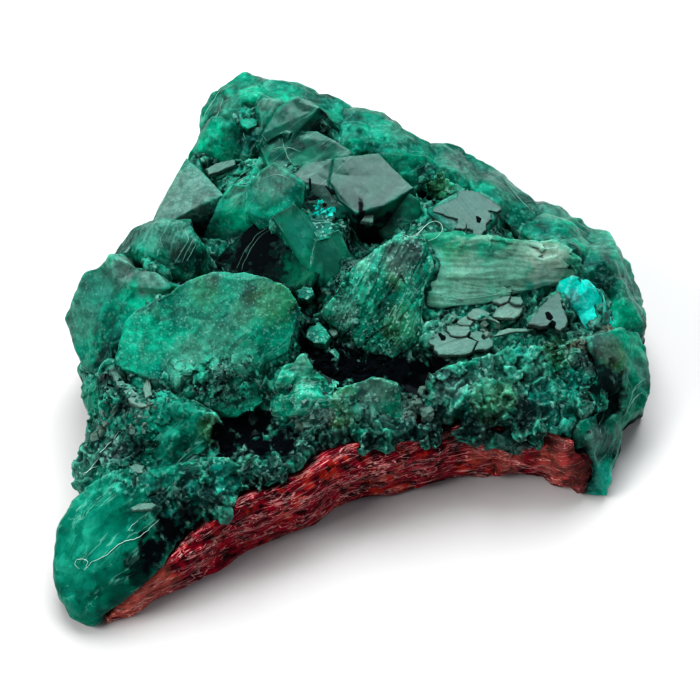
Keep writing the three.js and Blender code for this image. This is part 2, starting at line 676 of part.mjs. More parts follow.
        back: [0.3, 1, -4], spread: 1.4,
      },
      { // crumbly patch between the left crystals
        head: [
          [-12, 16.2, 12.2], [-9.5, 16.8, 12.6], [-7.3, 16.5, 12.4], [-8.1, 15, 11.6],
          [-10.1, 13.8, 11], [-11.6, 14.5, 11.4],
        ],
        back: [0, 0, -5], spread: 1.4,
      },
      { // grainy lump
        head: [
          [6.4, 14.1, 12.6], [7.4, 14.5, 13.1], [8.7, 14, 12.9], [9, 13.5, 12.2], [7.9, 13.1, 11.6],
          [6.6, 13.5, 11.9],
        ],
        back: [0, 0.5, -6], spread: 1.5,
      },
      ...strewn({
        from: [-11.6, -15.2, 7.0], to: [-4.6, -10.0, 8.0], count: 9, spread: 0.8, size: [1.8, 3.2],
        axis: [0.1, -0.9, 0.8], seed: 21,
      }),
      ...strewn({
        from: [-4, -9.4, 8.0], to: [16, -6.6, 7.8], count: 12, spread: 0.6, size: [1.6, 2.8],
        axis: [0.1, -0.9, 0.8], seed: 34,
      }),
    ],
    under: [
      { at: [-5, 11, 5.6], size: [11.5, 12.5, 3.0], chips: 34 },
      { at: [-4.6, 14.6, 6.6], size: [6.4, 5.0, 4.2], chips: 30 },
      { at: [9, 8, 5.6], size: [13.5, 9.0, 3.0], turn: -22, chips: 34 },
      { at: [-12.6, -3.6, 5.6], size: [8.0, 9.0, 2.4], chips: 26 },
      { at: [0, -1.5, 5.8], size: [10, 8.5, 2.4], chips: 26 },
      { at: [13.2, -1.0, 5.8], size: [8.6, 6.6, 2.8], chips: 28 },
      { at: [-8.6, 20.4, 6.2], size: [4.4, 4.4, 3.6], chips: 20 },
      { at: [-11.8, 15.8, 6.2], size: [2.6, 5.0, 3.4], chips: 20 },
      { at: [-15.6, 9.0, 6.0], size: [3.2, 4.6, 3.8], chips: 20 },
      { at: [-18.6, 1.4, 4.8], size: [3.2, 5.0, 3.2], chips: 20 },
      { at: [-2.0, 20.2, 6.4], size: [6.0, 3.6, 3.4], turn: -20, chips: 22 },
      { at: [5.0, 18.0, 5.8], size: [5.6, 3.4, 3.6], turn: -25, chips: 22 },
      { at: [11.0, 15.2, 5.6], size: [5.2, 3.6, 3.2], turn: -30, chips: 22 },
      { at: [16.6, 11.2, 5.2], size: [5.6, 3.4, 3.6], turn: -35, chips: 22 },
      { at: [20.2, 5.0, 4.6], size: [3.0, 5.2, 3.0], chips: 18 },
    ],
  },
};

const biggest = (solid) => solid.decompose().sort((a, b) => b.volume() - a.volume())[0];
const joined = (solids) => solids.reduce((whole, solid) => whole.add(solid));
const bodies = (parts, grow = 0) => joined(parts.map((part) => bodyInside(planesOf(part, grow))));

function meshOf(name, solid, color, roughness) {
  const { vertProperties, triVerts } = solid.getMesh();
  const geometry = new THREE.BufferGeometry()
    .setAttribute('position', new THREE.BufferAttribute(vertProperties, 3))
    .setIndex(new THREE.BufferAttribute(triVerts, 1));
  const mesh = new THREE.Mesh(geometry, new THREE.MeshStandardMaterial({ color, roughness }));
  mesh.name = name;
  return mesh;
}

const specimen = new THREE.Group();

// Nothing but the rock itself may fill the rock's room, widened by the seam, or touch the ground.
const rock = rockSolid();
const widenings = [[seam, 0, 0], [-seam, 0, 0], [0, seam, 0], [0, -seam, 0], [0, 0, seam]];
const rockRoom = joined(widenings.map((move) => rock.translate(move)));
const groundSize = 200;
const ground = solidOf(new THREE.BoxGeometry(groundSize, groundSize, groundSize)
  .translate(0, 0, crustLift - groundSize / 2));
const forbidden = rockRoom.add(ground);
specimen.add(meshOf('matrix_rock', rock, 0x7a1c22, 0.85));

// The crystals take their room one after another, above the layer of crust that they grew on;
// the crust comes last, and joins that layer to all the lumps that the crystals leave free.
let crystalRoom = bodies(pieces.dioptase_crust.under, seam);
let visibleRoom = null;
for (const [name, { colour, roughness, parts, under }] of Object.entries(pieces)) {
  const free = bodies(parts).subtract(under ? visibleRoom : crystalRoom);
  const whole = (under ? free.add(bodies(under)) : free).subtract(forbidden);
  specimen.add(meshOf(name, biggest(whole), colour, roughness));
  const room = bodies(parts, seam);
  crystalRoom = crystalRoom.add(room);
  visibleRoom = visibleRoom ? visibleRoom.add(room) : room;
}
// The origin is under the middle of the whole specimen, on the surface that it lies on.
const bounds = new THREE.Box3().setFromObject(specimen);
const middle = bounds.getCenter(new THREE.Vector3());
specimen.position.set(-middle.x, -middle.y, -bounds.min.z);

export default specimen;
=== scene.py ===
import math

import bpy
import numpy as np
from mathutils import Matrix, Vector
from mathutils.geometry import tessellate_polygon


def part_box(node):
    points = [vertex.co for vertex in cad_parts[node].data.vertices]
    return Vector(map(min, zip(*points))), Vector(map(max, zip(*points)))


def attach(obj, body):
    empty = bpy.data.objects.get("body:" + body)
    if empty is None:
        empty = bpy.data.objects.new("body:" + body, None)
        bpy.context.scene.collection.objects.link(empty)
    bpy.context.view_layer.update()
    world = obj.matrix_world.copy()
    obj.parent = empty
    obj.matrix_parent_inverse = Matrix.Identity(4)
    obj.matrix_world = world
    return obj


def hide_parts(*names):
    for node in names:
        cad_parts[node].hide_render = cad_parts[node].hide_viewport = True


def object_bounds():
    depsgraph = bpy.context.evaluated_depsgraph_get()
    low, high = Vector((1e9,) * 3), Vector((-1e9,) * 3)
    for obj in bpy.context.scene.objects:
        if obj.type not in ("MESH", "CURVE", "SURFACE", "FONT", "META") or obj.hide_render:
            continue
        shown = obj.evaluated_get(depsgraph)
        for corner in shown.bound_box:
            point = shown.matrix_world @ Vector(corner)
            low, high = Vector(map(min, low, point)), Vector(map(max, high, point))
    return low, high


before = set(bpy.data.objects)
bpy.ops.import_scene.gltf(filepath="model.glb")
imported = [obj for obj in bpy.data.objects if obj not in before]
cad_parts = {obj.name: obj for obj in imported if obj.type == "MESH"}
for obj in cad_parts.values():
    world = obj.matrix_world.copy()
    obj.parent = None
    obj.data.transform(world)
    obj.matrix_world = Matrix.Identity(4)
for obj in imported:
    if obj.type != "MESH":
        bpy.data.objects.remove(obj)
cadLow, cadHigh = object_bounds()  # the box that everything stays inside

# shapes are worked out in millimetres and become metres when a mesh is made; the camera, the lights, the
# floor and the materials are in metres
metre = 1000.0
lowest, highest = np.array(cadLow) * metre, np.array(cadHigh) * metre


def srgb(red, green, blue):
    # a screen colour of 0 to 255 as the linear colour that a socket takes
    return tuple(((c / 255) / 12.92 if c < 11 else ((c / 255 + 0.055) / 1.055) ** 2.4)
                 for c in (red, green, blue)) + (1.0,)


view = {
    "pivot": (-0.000476, -0.00215, 0.009),
    "distance": 0.317,
    "elevation": 55,
    "lens": 200,
    "sensor": 36,
    "near": 0.01,
    "far": 5,
}


def towardsCamera():
    up = math.radians(view["elevation"])
    return (0, -math.cos(up), math.sin(up))


def placeCamera():
    back = Vector(towardsCamera())
    data = bpy.data.cameras.new("viewCamera")
    data.lens, data.sensor_width = view["lens"], view["sensor"]
    data.clip_start, data.clip_end = view["near"], view["far"]
    camera = bpy.data.objects.new("viewCamera", data)
    camera.location = Vector(view["pivot"]) + back * view["distance"]
    camera.rotation_mode = "QUATERNION"
    camera.rotation_quaternion = (-back).to_track_quat("-Z", "Y")
    bpy.context.scene.collection.objects.link(camera)
    bpy.context.scene.camera = camera


studio = {  # each soft box: the direction it stands in, its distance, side and brightness, and its colour
    "behind": {"from": (0.05, 0.60, 0.80), "distance": 0.5, "side": 0.44, "radiance": 5.5,
               "colour": (1, 1, 1)},
    "left": {"from": (-0.75, -0.25, 0.62), "distance": 0.5, "side": 0.26, "radiance": 7.5,
             "colour": (1, 0.99, 0.97)},
    "right": {"from": (0.85, 0.1, 0.45), "distance": 0.5, "side": 0.2, "radiance": 3.0,
              "colour": (0.97, 0.99, 1)},
}
surroundings = {"colour": (0.9, 0.95, 1.0, 1.0), "strength": 0.22}
paperFloor = {"side": 3.0, "colour": (0.6, 0.6, 0.6, 1), "roughness": 0.9, "specular": 0.1}


def placeLights():
    middle = Vector(view["pivot"])
    for name, box in studio.items():
        data = bpy.data.lights.new(name + "Box", "AREA")
        data.shape, data.size = "SQUARE", box["side"]
        data.energy = box["radiance"] * math.pi * box["side"] ** 2
        data.color = box["colour"]
        lamp = bpy.data.objects.new(name + "Box", data)
        towards = Vector(box["from"]).normalized()
        lamp.location = middle + towards * box["distance"]
        lamp.rotation_mode = "QUATERNION"
        lamp.rotation_quaternion = towards.to_track_quat("Z", "Y")
        bpy.context.scene.collection.objects.link(lamp)
    world = bpy.data.worlds.new("studioWorld")
    world.use_nodes = True
    backdrop = world.node_tree.nodes["Background"]
    backdrop.inputs["Color"].default_value = surroundings["colour"]
    backdrop.inputs["Strength"].default_value = surroundings["strength"]
    bpy.context.scene.world = world


def placeFloor():
    half = paperFloor["side"] / 2
    mesh = bpy.data.meshes.new("studioFloor")
    mesh.from_pydata([(-half, -half, 0), (half, -half, 0), (half, half, 0), (-half, half, 0)], [],
                     [(0, 1, 2, 3)])
    floor = bpy.data.objects.new("studioFloor", mesh)
    bpy.context.scene.collection.objects.link(floor)
    paper = bpy.data.materials.new("floorPaper")
    paper.use_nodes = True
    shader = paper.node_tree.nodes["Principled BSDF"]
    shader.inputs["Base Color"].default_value = paperFloor["colour"]
    shader.inputs["Roughness"].default_value = paperFloor["roughness"]
    shader.inputs["Specular IOR Level"].default_value = paperFloor["specular"]
    mesh.materials.append(paper)


placeCamera()
placeLights()
placeFloor()
bpy.context.scene.view_settings.view_transform = "Standard"
bpy.context.scene.view_settings.look = "High Contrast"
print("studio ready")


def mixBits(ix, iy, iz, seed):
    # three whole numbers and a seed, multiplied and shifted into one well mixed 32-bit number
    h = ix * np.uint32(374761393) + iy * np.uint32(668265263) + iz * np.uint32(2246822519)
    h = h + np.uint32(seed * 974711 % 4294967296)
    h = (h ^ (h >> np.uint32(13))) * np.uint32(1274126177)
    h = (h ^ (h >> np.uint32(16))) * np.uint32(2654435769)
    return h ^ (h >> np.uint32(15))


def threeValues(h):
    # one mixed number as three values of -1 to 1
    parts = [(h >> np.uint32(shift)) & np.uint32(1023) for shift in (0, 10, 20)]
    return [part.astype(np.float32) / 511.5 - 1 for part in parts]


def cloud(p, seed):
    # gradient noise: at each lattice corner a random slope times the way to it, eased together by 6t5 - 15t4
    # + 10t3 and scaled to span about -1 to 1
    base = np.floor(p)
    f = p - base
    ease = f * f * f * (f * (f * 6 - 15) + 10)
    cell = base.astype(np.int64).astype(np.uint32)
    total = np.zeros(len(p))
    for dx in (0, 1):
        for dy in (0, 1):
            for dz in (0, 1):
                corner = np.array([dx, dy, dz])
                weight = np.abs(1 - corner - ease).prod(axis=1)
                h = mixBits(cell[:, 0] + np.uint32(dx), cell[:, 1] + np.uint32(dy),
                            cell[:, 2] + np.uint32(dz), seed)
                slope = threeValues(h)
                way = f - corner
                total += weight * (slope[0] * way[:, 0] + slope[1] * way[:, 1] + slope[2] * way[:, 2])
    return total * 1.5


def layered(p, seed, layers=3, fade=0.5):
    # sum of cloud noises, each twice as fine and fade times as strong as the last
    total, strength = np.zeros(len(p)), 1.0
    for layer in range(layers):
        total += strength * cloud(p * 2.0 ** layer + 17.3 * layer, seed + layer)
        strength *= fade
    return total


def cells(p, seed):
    # one random point in each lattice cell: the number of the nearest one, and the way from it
    base = np.floor(p).astype(np.int64)
    near = np.full(len(p), 1e9)
    owner = np.zeros(len(p), np.uint32)
    away = np.zeros((len(p), 3))
    for dx in (-1, 0, 1):
        for dy in (-1, 0, 1):
            for dz in (-1, 0, 1):
                here = base + (dx, dy, dz)
                u = here.astype(np.uint32)
                h = mixBits(u[:, 0], u[:, 1], u[:, 2], seed)
                offset = np.stack(threeValues(h), axis=1) * 0.42 + 0.5
                way = p - here - offset
                d = (way * way).sum(axis=1)
                closer = d < near
                near = np.where(closer, d, near)
                owner = np.where(closer, h, owner)
                away[closer] = way[closer]
    return owner, away


def between(low, high, value):
    # 0 below low, 1 above high, and 3t2 - 2t3 between them
    t = np.clip((value - low) / (high - low), 0, 1)
    return t * t * (3 - 2 * t)


def stretched(p, r):
    # points in units of a relief's size, their first coordinate divided by its length, so that it is drawn
    # out along x
    return p / r["size"] / (r.get("length", 1), 1, 1)


raggedNoise = {"size": 0.9, "seed": 77}


def nearBalls(p, balls, ragged=0.0):
    # the greatest of the balls' masks: 1 within 0.55 of a radius and 0 past 1.25 of it, heights counted half
    # and the distance waved by ragged times a noise
    mask = np.zeros(len(p))
    wave = ragged * layered(p / raggedNoise["size"], raggedNoise["seed"]) if ragged and balls else 0
    for x, y, z, radius, amount in balls:
        d = np.linalg.norm((p - (x, y, z)) * (1, 1, 0.5), axis=1) / radius + wave
        mask = np.maximum(mask, (1 - between(0.55, 1.25, d)) * amount)
    return mask


def swell(p, r):
    # soft rises and dips: layered noise
    return r["height"] * layered(stretched(p, r), r["seed"])


def facets(p, r):
    # small flat faces: each cell of a random tiling is a plane with a tilt and a level of its own
    q = stretched(p, r)
    owner, away = cells(q, r["seed"])
    tilt = np.stack(threeValues(owner * np.uint32(2246822519)), axis=1)
    level = ((owner >> np.uint32(7)) & np.uint32(255)).astype(float) / 255 - 0.5
    return r["height"] * (1.4 * (away * tilt).sum(axis=1) + 0.5 * level)


def hewn(p, r):
    # flats that meet in creases: random values at the corners of a warped lattice, joined straight across its
    # tetrahedra
    q = stretched(p, r)
    q = (q + 0.4 * np.stack([cloud(q * 0.7, r["seed"] + k) for k in (1, 2, 3)], axis=1)) @ slantedAxes
    base = np.floor(q)
    f = q - base
    order = np.argsort(-f, axis=1)
    first = np.eye(3)[order[:, 0]]
    second = first + np.eye(3)[order[:, 1]]
    f = np.take_along_axis(f, order, axis=1)
    shares = (1 - f[:, 0], f[:, 0] - f[:, 1], f[:, 1] - f[:, 2], f[:, 2])
    total = 0
    for share, corner in zip(shares, (0, first, second, 1)):
        cell = (base + corner).astype(np.int64).astype(np.uint32)
        total = total + share * threeValues(mixBits(cell[:, 0], cell[:, 1], cell[:, 2], r["seed"]))[0]
    return r["height"] * total


def striae(p, r):
    # long sharp ribs: 1 - |noise| drawn out along one direction
    return r["height"] * (0.5 - np.abs(layered(stretched(p, r), r["seed"], 2)) * 1.6)


slantedAxes = np.array(Matrix.Rotation(0.7, 3, "X") @ Matrix.Rotation(0.5, 3, "Z"))
reliefKinds = {"hewn": hewn, "swell": swell, "facets": facets, "striae": striae}


def widened(node, outwards):
    # the CAD node with every face moved along its normal by its own distance, its edges kept sharp: each
    # corner goes where the moved planes round it meet, by least squares, and no further than twice the
    # greatest distance
    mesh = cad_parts[node].data
    shape = arraysOf(mesh)
    points, same = np.unique(np.round(shape["points"] * metre, 4), axis=0, return_inverse=True)
    faces = same.reshape(-1)[shape["faces"]]
    faces = faces[(faces[:, 0] != faces[:, 1]) & (faces[:, 1] != faces[:, 2]) & (faces[:, 2] != faces[:, 0])]
    normals = np.cross(points[faces[:, 1]] - points[faces[:, 0]], points[faces[:, 2]] - points[faces[:, 0]])
    normals /= np.maximum(np.linalg.norm(normals, axis=1), 1e-12)[:, None]
    distance = outwards(points[faces].mean(axis=1), normals)
    square, aim = np.zeros((len(points), 3, 3)), np.zeros((len(points), 3))
    for k in range(3):
        np.add.at(square, faces[:, k], normals[:, :, None] * normals[:, None, :])
        np.add.at(aim, faces[:, k], normals * distance[:, None])
    square += 0.02 * np.eye(3)  # holds back a corner whose planes are nearly parallel
    move = np.linalg.solve(square, aim[:, :, None])[:, :, 0]
    far = np.linalg.norm(move, axis=1)
    move *= np.minimum(1, 2 * distance.max() / np.maximum(far, 1e-9))[:, None]
    return points + move, faces


def remeshed(points, faces, voxel):
    # an even skin of small quads over a closed body
    mesh = bpy.data.meshes.new("body")
    mesh.from_pydata(points.tolist(), [], faces.tolist())
    carrier = bpy.data.objects.new("carrier", mesh)
    bpy.context.scene.collection.objects.link(carrier)
    skin = carrier.modifiers.new("skin", "REMESH")
    skin.mode, skin.voxel_size = "VOXEL", voxel
    graph = bpy.context.evaluated_depsgraph_get()
    even = bpy.data.meshes.new_from_object(carrier.evaluated_get(graph), depsgraph=graph)
    shape = arraysOf(even)
    bpy.data.objects.remove(carrier)
    bpy.data.meshes.remove(mesh)
    bpy.data.meshes.remove(even)
    return shape


def arraysOf(mesh):
    points = np.empty(len(mesh.vertices) * 3, np.float32)
    mesh.vertices.foreach_get("co", points)
    edges = np.empty(len(mesh.edges) * 2, np.int32)
    mesh.edges.foreach_get("vertices", edges)
    sides = 4 if len(mesh.loops) == 4 * len(mesh.polygons) else 3
    if sides == 4:
        corners = np.empty(len(mesh.loops), np.int32)
        mesh.loops.foreach_get("vertex_index", corners)
    else:
        mesh.calc_loop_triangles()
        corners = np.empty(len(mesh.loop_triangles) * 3, np.int32)
        mesh.loop_triangles.foreach_get("vertices", corners)
    return {"points": points.reshape(-1, 3).astype(float), "faces": corners.reshape(-1, sides),
            "edges": edges.reshape(-1, 2)}


def normalsOf(shape):
    # each face's normal, from its diagonals or sides, added up at its corners
    p, f = shape["points"], shape["faces"]
    last = f[:, 3] if f.shape[1] == 4 else f[:, 0]
    across = np.cross(p[f[:, 2]] - p[f[:, 0]], p[last] - p[f[:, 1]])
    total = np.stack([
        sum(np.bincount(f[:, k], weights=across[:, axis], minlength=len(p)) for k in range(f.shape[1]))
        for axis in range(3)], axis=1)
    return total / np.maximum(np.linalg.norm(total, axis=1), 1e-9)[:, None]


def neighbourMean(values, shape):
    e = shape["edges"]
    count = np.maximum(np.bincount(e.ravel(), minlength=len(values)), 1)
    columns = values.reshape(len(values), -1)
    total = np.stack([
        np.bincount(e[:, 0], weights=columns[e[:, 1], k], minlength=len(values))
        + np.bincount(e[:, 1], weights=columns[e[:, 0], k], minlength=len(values))
        for k in range(columns.shape[1])], axis=1)
    return (total / count[:, None]).reshape(values.shape)


def smoothed(values, shape, passes, share=0.6):
    # every value moved a share of the way to its neighbours' mean, several times over
    for _ in range(passes):
        values = values + share * (neighbourMean(values, shape) - values)
    return values


def thinned(shape, target, keep):
    # fewer triangles where little shows: edges are collapsed, and a high keep value holds a place back
    mesh = bpy.data.meshes.new("thin")
    mesh.from_pydata(shape["points"].tolist(), [], shape["faces"].tolist())
    carrier = bpy.data.objects.new("carrier", mesh)
    bpy.context.scene.collection.objects.link(carrier)
    hidden = carrier.vertex_groups.new(name="hidden")
    steps = 4
    levels = np.round((1 - keep) * steps).astype(int)
    for level in range(steps + 1):
        weight = max(level / steps, 0.02)  # never 0, because such places aren't thinned at all
        hidden.add(np.flatnonzero(levels == level).tolist(), weight, "REPLACE")
    less = carrier.modifiers.new("less", "DECIMATE")
    less.ratio = target / (len(shape["faces"]) * (shape["faces"].shape[1] - 2))
    less.vertex_group = "hidden"
    less.vertex_group_factor = 4.0
    graph = bpy.context.evaluated_depsgraph_get()
    made = bpy.data.meshes.new_from_object(carrier.evaluated_get(graph), depsgraph=graph)
    made.validate()
    found = arraysOf(made)
    bpy.data.objects.remove(carrier)
    bpy.data.meshes.remove(mesh)
    bpy.data.meshes.remove(made)
    return found


